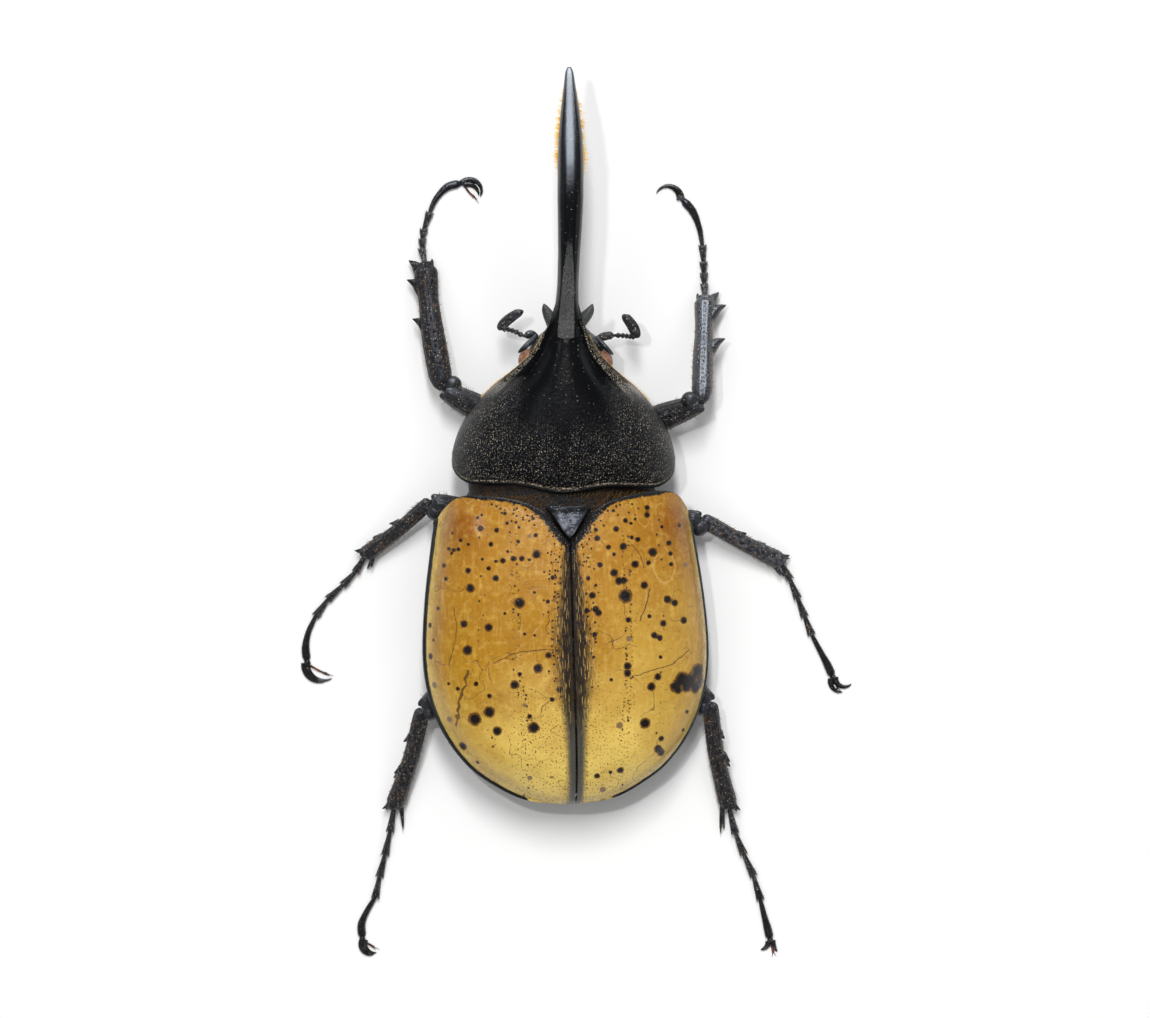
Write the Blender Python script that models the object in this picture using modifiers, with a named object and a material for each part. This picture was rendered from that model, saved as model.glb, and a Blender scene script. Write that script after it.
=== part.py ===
"""Hercules beetle, a male with its long thoracic horn, life size, standing on its six feet.

+Y is forward, along the horns, +Z is up and the floor is Z = 0. The origin is on the floor, under the
middle of the beetle's outline. Shapes are worked out in millimetres and written to the meshes in metres.
The front body (head, pronotum, horns) and the hind body (wing cases, thorax, abdomen) each hang from an
empty that turns them a little, as the specimen lies: the two halves are not quite in line.
"""

import math

import bmesh
import bpy
from mathutils import Matrix, Vector

MM = 0.001
GAP = 0.3

# Where the two body halves stand, and how they are turned.
FRONT_ORIGIN = (-1.8, 2.7, 0.0)
FRONT_YAW = -1.15
HIND_ORIGIN = (-1.45, -19.4, 11.5)
HIND_YAW = 1.4
HIND_ROLL = 5.0

# Wing cases, measured from their widest point and from the level of their side edges.
ELYTRA_HALF_WIDTH = 20.45
ELYTRA_REAR = 22.55
ELYTRA_FRONT = 22.3
ELYTRA_HEIGHT = 13.4
ELYTRA_NARROWING = 0.145
NARROWING_POWER = 1.6
TAIL_POWER = 2.15
RIDGE_TAIL_POWER = 0.52
RIDGE_FRONT_FALL = 0.17
SIDE_POWER = 0.93
ARCH_POWER = 0.82
ELYTRON_WALL = 0.9
ELYTRON_COLUMNS = 14
ELYTRON_ROWS = 20
SUTURE_COLUMN = 0.055
APEX_SHARE = 0.03
FRONT_EDGE_RISE = 2.9
FRONT_EDGE_REACH = 4.0
SHOULDER_AT = 13.6
SHOULDER_RADIUS = (4.2, 3.7)
SUTURE_GAP = 0.32
SUTURE_DRIFT = 0.7
DRIFT_POWER = 1.5
SCUTELLUM_HALF_WIDTH = 3.4
SCUTELLUM_LENGTH = 4.6
SCUTELLUM_WALL = 0.8
SCUTELLUM_DOME = 0.35
SCUTELLUM_SUNK = 0.25
SCUTELLUM_MARGIN = 0.3
SCUTELLUM_STEPS = 6

# Thorax and abdomen under the wing cases.
BODY_INSET = 1.45
BACK_INSET = 0.5
BODY_MIDDLE = -0.6
BELLY_DEPTH = 5.2
BELLY_POWER = 0.82
WAIST = 1.4
THORAX_FRONT = 18.1
THORAX_STEPS = 8
NECK_REACH = 6.0
NECK_HALF_WIDTH = 13.2
NECK_TOP = 7.6
NECK_DEPTH_FALL = 1.2
STERNITES = 6
STERNITE_STEP = 0.28
ABDOMEN_REAR = ELYTRA_REAR - 1.7
ABDOMEN_SIDE_GAP = 0.2

# Pronotum: forward distance from its hind edge, then half-width, top, side edge and underside heights.
PRONOTUM_STATIONS = (
    (0.0, 15.7, 19.6, 12.6, 8.6),
    (1.6, 15.8, 20.8, 12.3, 7.6),
    (3.6, 15.8, 22.0, 12.0, 6.9),
    (5.6, 15.7, 23.0, 11.8, 6.5),
    (7.8, 15.2, 24.0, 11.6, 6.3),
    (9.8, 14.35, 24.7, 11.4, 6.3),
    (11.6, 13.2, 25.2, 11.2, 6.4),
    (13.4, 11.7, 25.6, 11.0, 6.8),
    (15.2, 9.9, 26.0, 11.0, 7.4),
    (17.0, 7.7, 26.3, 12.2, 10.6),
    (18.6, 6.0, 26.5, 14.2, 13.4),
    (20.2, 4.6, 26.7, 16.6, 15.9),
    (21.6, 3.7, 26.9, 18.4, 17.6),
    (22.8, 3.1, 27.0, 19.8, 18.9),
)
PRONOTUM_HALF_WIDTH = 15.8
PRONOTUM_SINUS = 1.05
SINUS_REACH = 7.5
REAR_EDGE_DEPTH = 6.0
PRONOTUM_CORNER = 3.3
PRONOTUM_FLARE = 0.55
FLARE_FROM = 8.0
FLARE_TO = 20.5

# Thoracic horn: forward distance from the pronotum's hind edge, half-width, top height, depth.
HORN_STATIONS = (
    (23.1, 3.0, 27.0, 7.8),
    (24.2, 2.3, 27.2, 6.9),
    (25.6, 2.0, 27.5, 6.0),
    (27.3, 1.68, 27.8, 5.2),
    (30.0, 1.56, 28.3, 4.7),
    (34.0, 1.6, 28.8, 4.3),
    (38.0, 1.74, 29.0, 4.1),
    (42.0, 1.84, 28.8, 4.0),
    (46.0, 1.84, 28.3, 3.8),
    (49.5, 1.74, 27.5, 3.4),
    (52.5, 1.5, 26.5, 2.9),
    (55.5, 1.15, 25.3, 2.3),
    (58.0, 0.82, 24.2, 1.7),
    (59.8, 0.48, 23.3, 1.1),
    (60.5, 0.2, 22.9, 0.5),
)
HORN_SIDES = 14
HORN_CROWN = 0.12
HORN_KEEL = 0.18
HORN_LEAN = -0.3
HORN_BOW = 0.4
HORN_TOOTH_PATH = ((1.3, 23.9, 22.6), (2.4, 25.2, 22.9), (3.15, 26.1, 23.1), (3.65, 26.8, 23.3))
HORN_TOOTH_RADII = (1.05, 0.8, 0.5, 0.16)

# Head: forward distance, half-width, middle height, half-height.
HEAD_STATIONS = (
    (15.0, 3.6, 11.6, 2.6),
    (16.6, 4.8, 11.9, 3.4),
    (18.0, 6.1, 12.1, 3.7),
    (19.2, 6.95, 12.0, 3.6),
    (20.1, 6.3, 11.9, 3.5),
    (21.4, 5.1, 11.6, 3.4),
    (22.6, 3.85, 11.1, 3.0),
    (23.6, 2.7, 10.6, 2.5),
    (24.6, 2.1, 10.1, 1.9),
    (25.5, 1.75, 9.7, 1.3),
    (26.1, 1.3, 9.4, 0.7),
)
HEAD_SIDES = 18
LEDGE_POWER = 1.35
LEDGE_FROM = 17.5
LEDGE_TO = 23.0
CLYPEUS_FROM = 25.0
CLYPEUS_NOTCH = 0.6
HEAD_SHIFT = 0.2

# Head horn: forward distance, height, half-width, half-depth.
HEAD_HORN_STATIONS = (
    (19.6, 12.4, 1.7, 1.9),
    (21.6, 14.8, 1.35, 1.7),
    (24.5, 16.0, 1.05, 1.4),
    (29.0, 16.2, 0.95, 1.2),
    (34.5, 16.7, 0.9, 1.15),
    (40.0, 18.2, 0.8, 1.0),
    (45.0, 20.4, 0.6, 0.75),
    (47.9, 22.05, 0.3, 0.36),
    (48.4, 22.3, 0.16, 0.16),
)
CREST_TOOTH_AT = (37.8, 17.55)
CREST_TOOTH_RISE = ((-0.1, 1.0), (-0.5, 2.1))
EYE_PLACE = (5.35, 18.9, 12.4)
EYE_RADIUS = 1.5

# Mandibles and jaw feelers, for the right side of the front body's frame.
MANDIBLE_PATH = ((0.9, 24.3, 8.4), (1.3, 25.4, 8.0), (1.25, 26.4, 7.9), (0.85, 27.1, 8.0))
MANDIBLE_RADII = ((0, 0.7), (0.4, 0.62), (0.75, 0.45), (1, 0.18))
PALP_PATH = ((1.5, 22.4, 8.0), (1.9, 23.5, 6.9), (1.9, 24.7, 6.4), (1.5, 25.8, 6.2))
PALP_RADII = ((0, 0.3), (0.3, 0.36), (0.38, 0.27), (0.62, 0.38), (0.7, 0.27), (0.9, 0.4), (1, 0.2))

# Feelers, in the front body's frame: shaft joints, then the club from its root to its tip.
ANTENNA_PATHS = {
    "left": (
        ((-3.7, 21.6, 10.6), (-4.9, 22.5, 10.9), (-6.0, 22.3, 11.0), (-7.1, 22.8, 11.1), (-8.1, 23.1, 11.2),
         (-9.0, 23.15, 11.3)),
        ((-9.25, 23.6, 11.4), (-8.8, 24.6, 11.6), (-8.0, 25.35, 11.8), (-7.0, 25.75, 11.9),
         (-6.5, 25.8, 11.9)),
    ),
    "right": (
        ((3.7, 21.6, 10.6), (5.5, 22.45, 10.9), (6.9, 22.6, 11.0), (8.1, 22.6, 11.1), (9.0, 22.5, 11.2),
         (9.8, 22.4, 11.3)),
        ((9.95, 22.8, 11.4), (9.7, 23.8, 11.6), (9.05, 24.7, 11.8), (8.35, 25.3, 11.9),
         (7.95, 25.6, 11.9)),
    ),
}
SCAPE_RADII = ((0.0, 0.36), (0.1, 0.44), (0.22, 0.6), (0.32, 0.55), (0.4, 0.3))
SHAFT_FROM = 0.42
SHAFT_BEADS = 5
BEAD_LENGTH = 0.07
CLUB_RADII = ((0, 0.3, 0.4), (0.2, 0.5, 0.62), (0.55, 0.62, 0.72), (0.85, 0.52, 0.6), (1, 0.25, 0.3))

# Legs, in the frame of the whole beetle. Teeth are (share of the tibia, reach outwards); spines add a height;
# spurs are (forward, inward, up) from the ankle. Claws are (heading, turn, length, drop, sideways spread).
# The tibia has its own girth and a bow inwards, and the knob is the swelling of the femur beside the knee.
LEGS = {
    "front_left": {
        "girth": 1.13, "bow": -0.3, "knob": (-17.5, 18.2),
        "coxa": (-5.4, 10.4, 8.5), "hip": (-7.6, 11.6, 4.9), "knee": (-18.9, 17.4, 8.4),
        "ankle": (-21.5, 35.4, 2.7), "body": "pronotum", "outer": -1,
        "teeth": ((1.05, 2.25), (0.9, 2.9), (0.59, 2.9)), "spines": (), "spurs": ((0.7, 1.1, 0.1),),
        "toes": ((-21.9, 36.4, 2.1), (-21.95, 37.6, 1.8), (-21.9, 38.9, 1.5), (-21.7, 40.3, 1.3),
                 (-20.9, 42.7, 1.1)),
        "foot": ((-20.0, 44.7, 0.8), (-18.4, 46.4, 0.56), (-16.5, 47.0, 0.46)),
        "claws": ((42, -165, 4.7, 0.0, 0.0), (20, -110, 3.2, 0.05, 0.35)),
    },
    "front_right": {
        "girth": 1.0, "bow": 0.0, "knob": (16.3, 15.9),
        "coxa": (3.3, 10.4, 8.5), "hip": (6.2, 11.3, 4.9), "knee": (18.0, 15.5, 12.2),
        "ankle": (18.5, 30.6, 2.9), "body": "pronotum", "outer": 1,
        "teeth": ((1.06, 2.0), (0.94, 3.1), (0.62, 3.1)), "spines": (), "spurs": ((0.7, 1.1, 0.1),),
        "toes": ((18.5, 31.3, 2.1), (18.4, 32.5, 1.8), (18.35, 34.0, 1.5), (18.3, 35.6, 1.3),
                 (18.15, 38.0, 1.1)),
        "foot": ((17.7, 40.6, 0.8), (16.8, 42.9, 0.56), (15.4, 44.6, 0.46)),
        "claws": ((95, 150, 5.0, 0.0, 0.0), (86, 138, 4.4, 0.05, -0.4)),
    },
    "middle_left": {
        "girth": 0.84, "bow": 0.25, "knob": (-20.0, 0.0),
        "coxa": (-6.2, -3.2, 8.2), "hip": (-8.6, -2.2, 4.9), "knee": (-20.7, 1.5, 8.2),
        "ankle": (-29.9, -6.0, 2.6), "body": "thorax", "outer": -1, "teeth": (),
        "spines": ((0.45, 0.75, 0.2), (0.72, 0.75, -0.1), (0.97, 0.9, 0.5), (0.99, 0.5, -0.3)),
        "spurs": ((0.6, 2.0, 0.3), (1.7, 1.75, -0.5)),
        "toes": ((-29.9, -6.5, 2.2), (-31.4, -8.5, 1.8), (-33.2, -10.4, 1.5), (-35.3, -12.4, 1.2),
                 (-37.1, -14.8, 1.0)),
        "foot": ((-38.2, -17.2, 0.72), (-38.6, -19.4, 0.56), (-38.4, -21.2, 0.46)),
        "claws": ((266, 126, 5.2, 0.0, 0.0), (262, 118, 4.9, 0.05, 0.45)),
    },
    "middle_right": {
        "girth": 0.92, "bow": 0.15, "knob": (17.7, -2.2),
        "coxa": (3.6, -3.2, 8.0), "hip": (6.4, -2.7, 4.8), "knee": (18.0, -1.0, 7.7),
        "ankle": (29.3, -7.1, 2.6), "body": "thorax", "outer": 1, "teeth": (),
        "spines": ((0.42, 0.75, 0.2), (0.67, 0.75, -0.1), (0.95, 0.9, 0.5), (0.99, 0.5, -0.3)),
        "spurs": ((1.0, 1.8, 0.3), (2.0, 1.6, -0.5)),
        "toes": ((29.4, -7.3, 2.2), (30.6, -9.5, 1.8), (31.7, -12.2, 1.5), (32.7, -14.8, 1.2),
                 (33.7, -17.4, 1.0)),
        "foot": ((35.0, -19.9, 0.72), (36.0, -21.8, 0.56), (36.7, -23.4, 0.46)),
        "claws": ((-105, 115, 3.0, 0.05, 0.35), (-95, 145, 3.3, 0.05, -0.35)),
    },
    "hind_left": {
        "girth": 0.95, "bow": 0.35, "knob": (-20.9, -28.6),
        "coxa": (-5.0, -14.8, 7.9), "hip": (-7.6, -16.0, 4.7), "knee": (-21.8, -28.1, 8.2),
        "ankle": (-25.9, -42.0, 2.6), "body": "thorax", "outer": -1, "teeth": (),
        "spines": ((0.28, 0.8, 0.2), (0.6, 0.8, 0.4), (0.66, 0.7, -0.3), (0.97, 1.0, 0.4), (0.99, 0.5, -0.4)),
        "spurs": ((3.1, 2.2, 0.2), (2.4, 1.7, -0.6)),
        "toes": ((-26.1, -42.4, 2.2), (-26.5, -45.6, 1.8), (-27.2, -48.9, 1.5), (-28.0, -52.0, 1.2),
                 (-28.6, -55.0, 1.0)),
        "foot": ((-29.9, -57.2, 0.72), (-30.6, -59.0, 0.56), (-30.5, -60.8, 0.46)),
        "claws": ((-120, 135, 3.4, 0.0, 0.0), (-112, 128, 3.1, 0.05, -0.4)),
    },
    "hind_right": {
        "girth": 0.95, "bow": 0.45, "knob": (18.2, -27.9),
        "coxa": (2.8, -14.8, 7.5), "hip": (5.6, -15.8, 4.6), "knee": (19.2, -27.2, 7.7),
        "ankle": (21.9, -42.0, 2.6), "body": "thorax", "outer": 1, "teeth": (),
        "spines": ((0.28, 0.6, 0.2), (0.5, 0.8, 0.4), (0.56, 0.7, -0.3), (0.97, 1.0, 0.4), (0.99, 0.5, -0.4)),
        "spurs": ((3.9, 1.9, 0.2), (3.7, 1.25, -0.6)),
        "toes": ((22.1, -42.4, 2.2), (22.8, -45.8, 1.8), (24.0, -48.8, 1.5), (25.4, -51.9, 1.2),
                 (26.4, -55.3, 1.0)),
        "foot": ((26.9, -57.4, 0.72), (27.4, -59.3, 0.56), (27.8, -61.0, 0.46)),
        "claws": ((-92, -85, 1.8, 0.05, 0.3), (-82, 30, 1.8, 0.05, -0.3)),
    },
}
LIMB_SPARE = 1.6
LIMB_SIDES = 10
TIBIA_FLAT = 0.85
COXA_RADII = ((0, 2.0), (0.35, 2.3), (0.7, 1.9), (1, 1.3))
FEMUR_RADII = ((0.0, 1.35), (0.22, 1.9), (0.6, 2.0), (0.85, 1.7), (1.0, 1.55))
FRONT_TIBIA_RADII = ((0.0, 1.3), (0.12, 1.5), (0.4, 1.45), (0.75, 1.5), (0.93, 1.3), (1.0, 0.95))
KNOB_RADIUS = 1.3
TIBIA_RADII = ((0.0, 0.95), (0.15, 1.15), (0.45, 1.2), (0.75, 1.3), (0.95, 1.45), (1.0, 1.25))
TOOTH_RADII = ((0, 0.85), (0.45, 0.6), (0.75, 0.36), (1, 0.1))
SPINE_RADII = ((0, 0.42), (0.6, 0.26), (1, 0.09))
TOE_BEAD = ((0.0, 0.36), (0.35, 0.48), (0.8, 0.66), (0.97, 0.5))
FOOT_RADII = ((0.0, 0.34), (0.3, 0.42), (0.65, 0.62), (0.9, 0.66), (1.0, 0.45))
CLAW_RADII = ((0.0, 0.42), (0.3, 0.38), (0.7, 0.28), (1.0, 0.1))

# Finishes: base colour, roughness.
FINISHES = {
    "black_shell": ((0.012, 0.012, 0.014), 0.35),
    "amber_shell": ((0.52, 0.27, 0.05), 0.3),
    "dark_hair": ((0.05, 0.03, 0.015), 0.8),
    "leg_shell": ((0.02, 0.018, 0.018), 0.45),
    "eye": ((0.32, 0.14, 0.07), 0.3),
}


def clear_scene():
    """Empties the file of objects and makes the two collections."""
    for leftover in list(bpy.data.objects):
        bpy.data.objects.remove(leftover)
    beetle = bpy.data.collections.new("hercules_beetle")
    cutters = bpy.data.collections.new("cutters")
    cutters.hide_render = True
    bpy.context.scene.collection.children.link(beetle)
    bpy.context.scene.collection.children.link(cutters)
    return beetle, cutters


def finish(name):
    """The named Principled material, made on first use."""
    if name in bpy.data.materials:
        return bpy.data.materials[name]
    colour, roughness = FINISHES[name]
    material = bpy.data.materials.new(name)
    material.use_nodes = True
    shader = material.node_tree.nodes["Principled BSDF"]
    shader.inputs["Base Color"].default_value = (*colour, 1.0)
    shader.inputs["Roughness"].default_value = roughness
    shader.inputs["Metallic"].default_value = 0.0
    return material


def frame_empty(name, origin, yaw, roll):
    """An empty at origin, turned by yaw about Z and roll about Y, in degrees."""
    empty = bpy.data.objects.new(name, None)
    empty.location = Vector(origin) * MM
    empty.rotation_euler = (0.0, math.radians(roll), math.radians(yaw))
    BEETLE.objects.link(empty)
    return empty


def add_part(name, shape, material, parent=None):
    """Turns a bmesh in millimetres into a named, smooth-shaded object in metres."""
    bmesh.ops.recalc_face_normals(shape, faces=shape.faces)
    bmesh.ops.scale(shape, vec=(MM, MM, MM), verts=shape.verts)
    mesh = bpy.data.meshes.new(name)
    shape.to_mesh(mesh)
    shape.free()
    mesh.materials.append(finish(material))
    mesh.shade_smooth()
    mesh.set_sharp_from_angle(angle=math.radians(40))
    part = bpy.data.objects.new(name, mesh)
    BEETLE.objects.link(part)
    part.parent = parent
    return part


def between(table, at, column):
    """Straight-line reading of a column of a table whose first column rises."""
    if at <= table[0][0]:
        return table[0][column]
    for low, high in zip(table, table[1:]):
        if at <= high[0]:
            share = (at - low[0]) / (high[0] - low[0])
            return low[column] + share * (high[column] - low[column])
    return table[-1][column]


def signed_power(value, power):
    """value raised to a power, with its sign kept."""
    return math.copysign(abs(value) ** power, value)


def along(points, share):
    """The point at a share of the way along a smooth curve through the given points."""
    points = [Vector(p) for p in points]
    place = min(max(share, 0.0), 1.0) * (len(points) - 1)
    k = min(int(place), len(points) - 2)
    t = place - k
    b, c = points[k], points[k + 1]
    a = points[k - 1] if k else b * 2 - c
    d = points[k + 2] if k + 2 < len(points) else c * 2 - b
    square = 2 * a - 5 * b + 4 * c - d
    cube = 3 * b - a - 3 * c + d
    return 0.5 * (2 * b + (c - a) * t + square * t ** 2 + cube * t ** 3)


def loft(rings, fan=False):
    """A closed bmesh through rings of points that all have the same count; fan caps suit a bent end."""
    shape = bmesh.new()
    loops = [[shape.verts.new(p) for p in ring] for ring in rings]
    count = len(loops[0])
    for near, far in zip(loops, loops[1:]):
        for k in range(count):
            n = (k + 1) % count
            shape.faces.new((near[k], near[n], far[n], far[k]))
    for cap in (list(reversed(loops[0])), loops[-1]):
        face = shape.faces.new(cap)
        if fan:
            bmesh.ops.poke(shape, faces=[face])
    return shape


def sweep(points, profile, sides=8, up=(0.0, 0.0, 1.0), flat=1.0):
    """A closed tapering limb along a smooth curve.

    profile holds (share along, radius) or (share along, radius across, radius along up).
    """
    rings = []
    for share, radius, *rest in profile:
        centre = along(points, share)
        heading = along(points, min(share + 0.02, 1.0)) - along(points, max(share - 0.02, 0.0))
        heading.normalize()
        side = heading.cross(Vector(up)).normalized()
        rise = side.cross(heading)
        high = rest[0] if rest else radius * flat
        ring = []
        for k in range(sides):
            angle = 2 * math.pi * (k + 0.5) / sides
            ring.append(centre + side * radius * math.cos(angle) + rise * high * math.sin(angle))
        rings.append(ring)
    return loft(rings)


def trim(shape, place, facing):
    """Cuts away what lies beyond a plane, on the side it faces, and closes the cut."""
    parts = shape.verts[:] + shape.edges[:] + shape.faces[:]
    bmesh.ops.bisect_plane(shape, geom=parts, plane_co=place, plane_no=facing, clear_outer=True, dist=1e-6)
    rim = [edge for edge in shape.edges if edge.is_boundary]
    if rim:
        bmesh.ops.holes_fill(shape, edges=rim, sides=0)


def fuse(base, extras):
    """Joins closed objects to base with one Boolean union and keeps the largest closed surface."""
    group = bpy.data.collections.new(base.name + "_extras")
    bpy.context.scene.collection.children.link(group)
    for extra in extras:
        BEETLE.objects.unlink(extra)
        group.objects.link(extra)
    union = base.modifiers.new("union", "BOOLEAN")
    union.operation = "UNION"
    union.operand_type = "COLLECTION"
    union.collection = group
    union.solver = "EXACT"
    bake(base)
    for extra in extras:
        bpy.data.objects.remove(extra)
    bpy.data.collections.remove(group)
    keep_largest(base)
    return base


def bake(part):
    """Applies a part's modifiers to its mesh."""
    graph = bpy.context.evaluated_depsgraph_get()
    graph.update()
    mesh = bpy.data.meshes.new_from_object(part.evaluated_get(graph))
    mesh.name = part.name
    part.modifiers.clear()
    part.data = mesh


def keep_largest(part):
    """Drops every closed surface of a part but the largest."""
    shape = bmesh.new()
    shape.from_mesh(part.data)
    unseen, islands = set(shape.verts), []
    while unseen:
        island, front = set(), [unseen.pop()]
        while front:
            vertex = front.pop()
            island.add(vertex)
            for edge in vertex.link_edges:
                other = edge.other_vert(vertex)
                if other in unseen:
                    unseen.remove(other)
                    front.append(other)
        islands.append(island)
    islands.sort(key=len)
    for island in islands[:-1]:
        bmesh.ops.delete(shape, geom=list(island), context="VERTS")
    shape.to_mesh(part.data)
    shape.free()


def cut_clear(part, neighbour, gap=GAP):
    """Cuts a part back to leave a gap round its neighbour."""
    graph = bpy.context.evaluated_depsgraph_get()
    graph.update()
    swollen = bmesh.new()
    swollen.from_mesh(neighbour.evaluated_get(graph).to_mesh())
    swollen.normal_update()
    moves = [(vertex, vertex.normal * vertex.calc_shell_factor() * gap * MM) for vertex in swollen.verts]
    for vertex, move in moves:
        vertex.co += move
    mesh = bpy.data.meshes.new(f"clear_of_{neighbour.name}")
    swollen.to_mesh(mesh)
    swollen.free()
    cutter = bpy.data.objects.new(f"{part.name}_clear_of_{neighbour.name}", mesh)
    cutter.matrix_world = neighbour.matrix_world
    cutter.hide_render = True
    cutter.display_type = "WIRE"
    CUTTERS.objects.link(cutter)
    cut = part.modifiers.new("clear", "BOOLEAN")
    cut.operation = "DIFFERENCE"
    cut.object = cutter
    cut.solver = "EXACT"
    bake(part)
    keep_largest(part)
    bpy.data.objects.remove(cutter)


def elytra_half_width(y):
    """Half the width of the closed wing cases at a distance from their widest point."""
    if y < 0:
        return ELYTRA_HALF_WIDTH * math.sqrt(max(1 - (-y / ELYTRA_REAR) ** TAIL_POWER, 0.0))
    return ELYTRA_HALF_WIDTH * (1 - ELYTRA_NARROWING * (y / ELYTRA_FRONT) ** NARROWING_POWER)


def elytra_ridge(y):
    """Height of the closed wing cases along the suture."""
    if y < 0:
        return ELYTRA_HEIGHT * max(1 - (y / ELYTRA_REAR) ** 2, 0.0) ** RIDGE_TAIL_POWER
    return ELYTRA_HEIGHT * (1 - RIDGE_FRONT_FALL * (y / ELYTRA_FRONT) ** 2)


def elytra_front_edge(x):
    """How far forward the wing cases reach at a distance from the suture."""
    x = abs(x)
    scutellum_tip = ELYTRA_FRONT - FRONT_EDGE_RISE - SCUTELLUM_LENGTH
    if x < SCUTELLUM_HALF_WIDTH:
        return scutellum_tip + SCUTELLUM_LENGTH * x / SCUTELLUM_HALF_WIDTH
    rise = FRONT_EDGE_RISE * (1 - math.exp(-(x - SCUTELLUM_HALF_WIDTH) / FRONT_EDGE_REACH))
    across, drop = SHOULDER_RADIUS
    past = min(max((x - SHOULDER_AT) / across, 0.0), 1.0)
    return scutellum_tip + SCUTELLUM_LENGTH + rise - drop * (1 - math.sqrt(1 - past ** 2))


def shell_height(x, y):
    """Height of the wing cases' outer surface above their edge plane."""
    width = max(elytra_half_width(y), 1e-6)
    across = min(abs(x) / width, 1.0)
    arch = max(1 - across ** (2 / SIDE_POWER), 0.0) ** (ARCH_POWER / 2)
    return elytra_ridge(y) * arch


def shell_point(share_along, share_across):
    """A point of the right wing case: along from apex (0) to front edge (1), across from suture to side."""
    angle = share_across * math.pi / 2
    across = math.sin(angle) ** SIDE_POWER
    if share_along < 0.5:
        y = -ELYTRA_REAR * math.sin(math.pi / 2 * (1 - 2 * share_along))
    else:
        y = (2 * share_along - 1) * elytra_front_edge((SHOULDER_AT + SHOULDER_RADIUS[0]) * across)
    x = SUTURE_GAP / 2 + (elytra_half_width(y) - SUTURE_GAP / 2) * across
    z = elytra_ridge(y) * max(math.cos(angle), 0.0) ** ARCH_POWER
    return x, y, z


def build_elytron(side, parent):
    """One wing case: a curved open surface given its wall thickness."""
    beyond = ELYTRON_COLUMNS - 3
    rest = 1 - 2 * SUTURE_COLUMN
    columns = [0.0, SUTURE_COLUMN] + [2 * SUTURE_COLUMN + rest * k / beyond for k in range(beyond + 1)]
    rows = [APEX_SHARE] + [k / ELYTRON_ROWS for k in range(1, ELYTRON_ROWS + 1)]
    shape = bmesh.new()
    grid = []
    for along_share in rows:
        line = []
        for across_share in columns:
            x, y, z = shell_point(along_share, across_share)
            drift = SUTURE_DRIFT * max(-y / ELYTRA_REAR, 0.0) ** DRIFT_POWER * (1 - across_share)
            line.append(shape.verts.new((side * x + drift, y, z)))
        grid.append(line)
    for near, far in zip(grid, grid[1:]):
        for k in range(len(columns) - 1):
            corners = (near[k], near[k + 1], far[k + 1], far[k])
            shape.faces.new(corners if side > 0 else tuple(reversed(corners)))
    name = "elytron_right" if side > 0 else "elytron_left"
    bmesh.ops.scale(shape, vec=(MM, MM, MM), verts=shape.verts)
    shape.normal_update()
    mesh = bpy.data.meshes.new(name)
    shape.to_mesh(mesh)
    shape.free()
    mesh.materials.append(finish("amber_shell"))
    mesh.shade_smooth()
    part = bpy.data.objects.new(name, mesh)
    BEETLE.objects.link(part)
    part.parent = parent
    wall = part.modifiers.new("wall", "SOLIDIFY")
    wall.thickness = ELYTRON_WALL * MM
    wall.offset = -1.0
    wall.use_even_offset = True
    return part


def build_scutellum(parent):
    """The small triangular plate between the wing cases' roots, level with their surface."""
    tip = ELYTRA_FRONT - FRONT_EDGE_RISE - SCUTELLUM_LENGTH + 2 * SCUTELLUM_MARGIN
    widest = SCUTELLUM_HALF_WIDTH - SCUTELLUM_MARGIN
    shape = bmesh.new()
    grid = []
    for i in range(SCUTELLUM_STEPS + 1):
        share = i / SCUTELLUM_STEPS
        y = tip + (SCUTELLUM_LENGTH + SCUTELLUM_MARGIN) * share
        half = SCUTELLUM_MARGIN / 2 + (widest - SCUTELLUM_MARGIN / 2) * min(share * 1.2, 1.0)
        line = []
        for k in range(SCUTELLUM_STEPS + 1):
            across = 2 * k / SCUTELLUM_STEPS - 1
            dome = SCUTELLUM_DOME * (1 - across ** 2) * math.sin(math.pi * min(share, 0.8))
            x = half * across
            line.append(shape.verts.new((x, y, shell_height(x, y) - SCUTELLUM_SUNK + dome)))
        grid.append(line)
    for near, far in zip(grid, grid[1:]):
        for k in range(SCUTELLUM_STEPS):
            shape.faces.new((near[k], near[k + 1], far[k + 1], far[k]))
    bmesh.ops.scale(shape, vec=(MM, MM, MM), verts=shape.verts)
    mesh = bpy.data.meshes.new("scutellum")
    shape.to_mesh(mesh)
    shape.free()
    mesh.materials.append(finish("black_shell"))
    part = bpy.data.objects.new("scutellum", mesh)
    BEETLE.objects.link(part)
    part.parent = parent
    wall = part.modifiers.new("wall", "SOLIDIFY")
    wall.thickness = SCUTELLUM_WALL * MM
    wall.offset = -1.0
    return part


def body_ring(y, half_width, top, depth, upper=18, lower=12):
    """A closed cross-section of the hind body: an arch above, a shallower belly below."""
    ring = []
    for k in range(upper):
        angle = math.pi * k / upper
        rise = (top - BODY_MIDDLE) * math.sin(angle) ** ARCH_POWER
        ring.append((half_width * signed_power(math.cos(angle), SIDE_POWER), y, BODY_MIDDLE + rise))
    for k in range(lower):
        angle = math.pi * k / lower
        fall = depth * math.sin(angle) ** BELLY_POWER
        ring.append((-half_width * signed_power(math.cos(angle), BELLY_POWER), y, BODY_MIDDLE - fall))
    return ring


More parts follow.
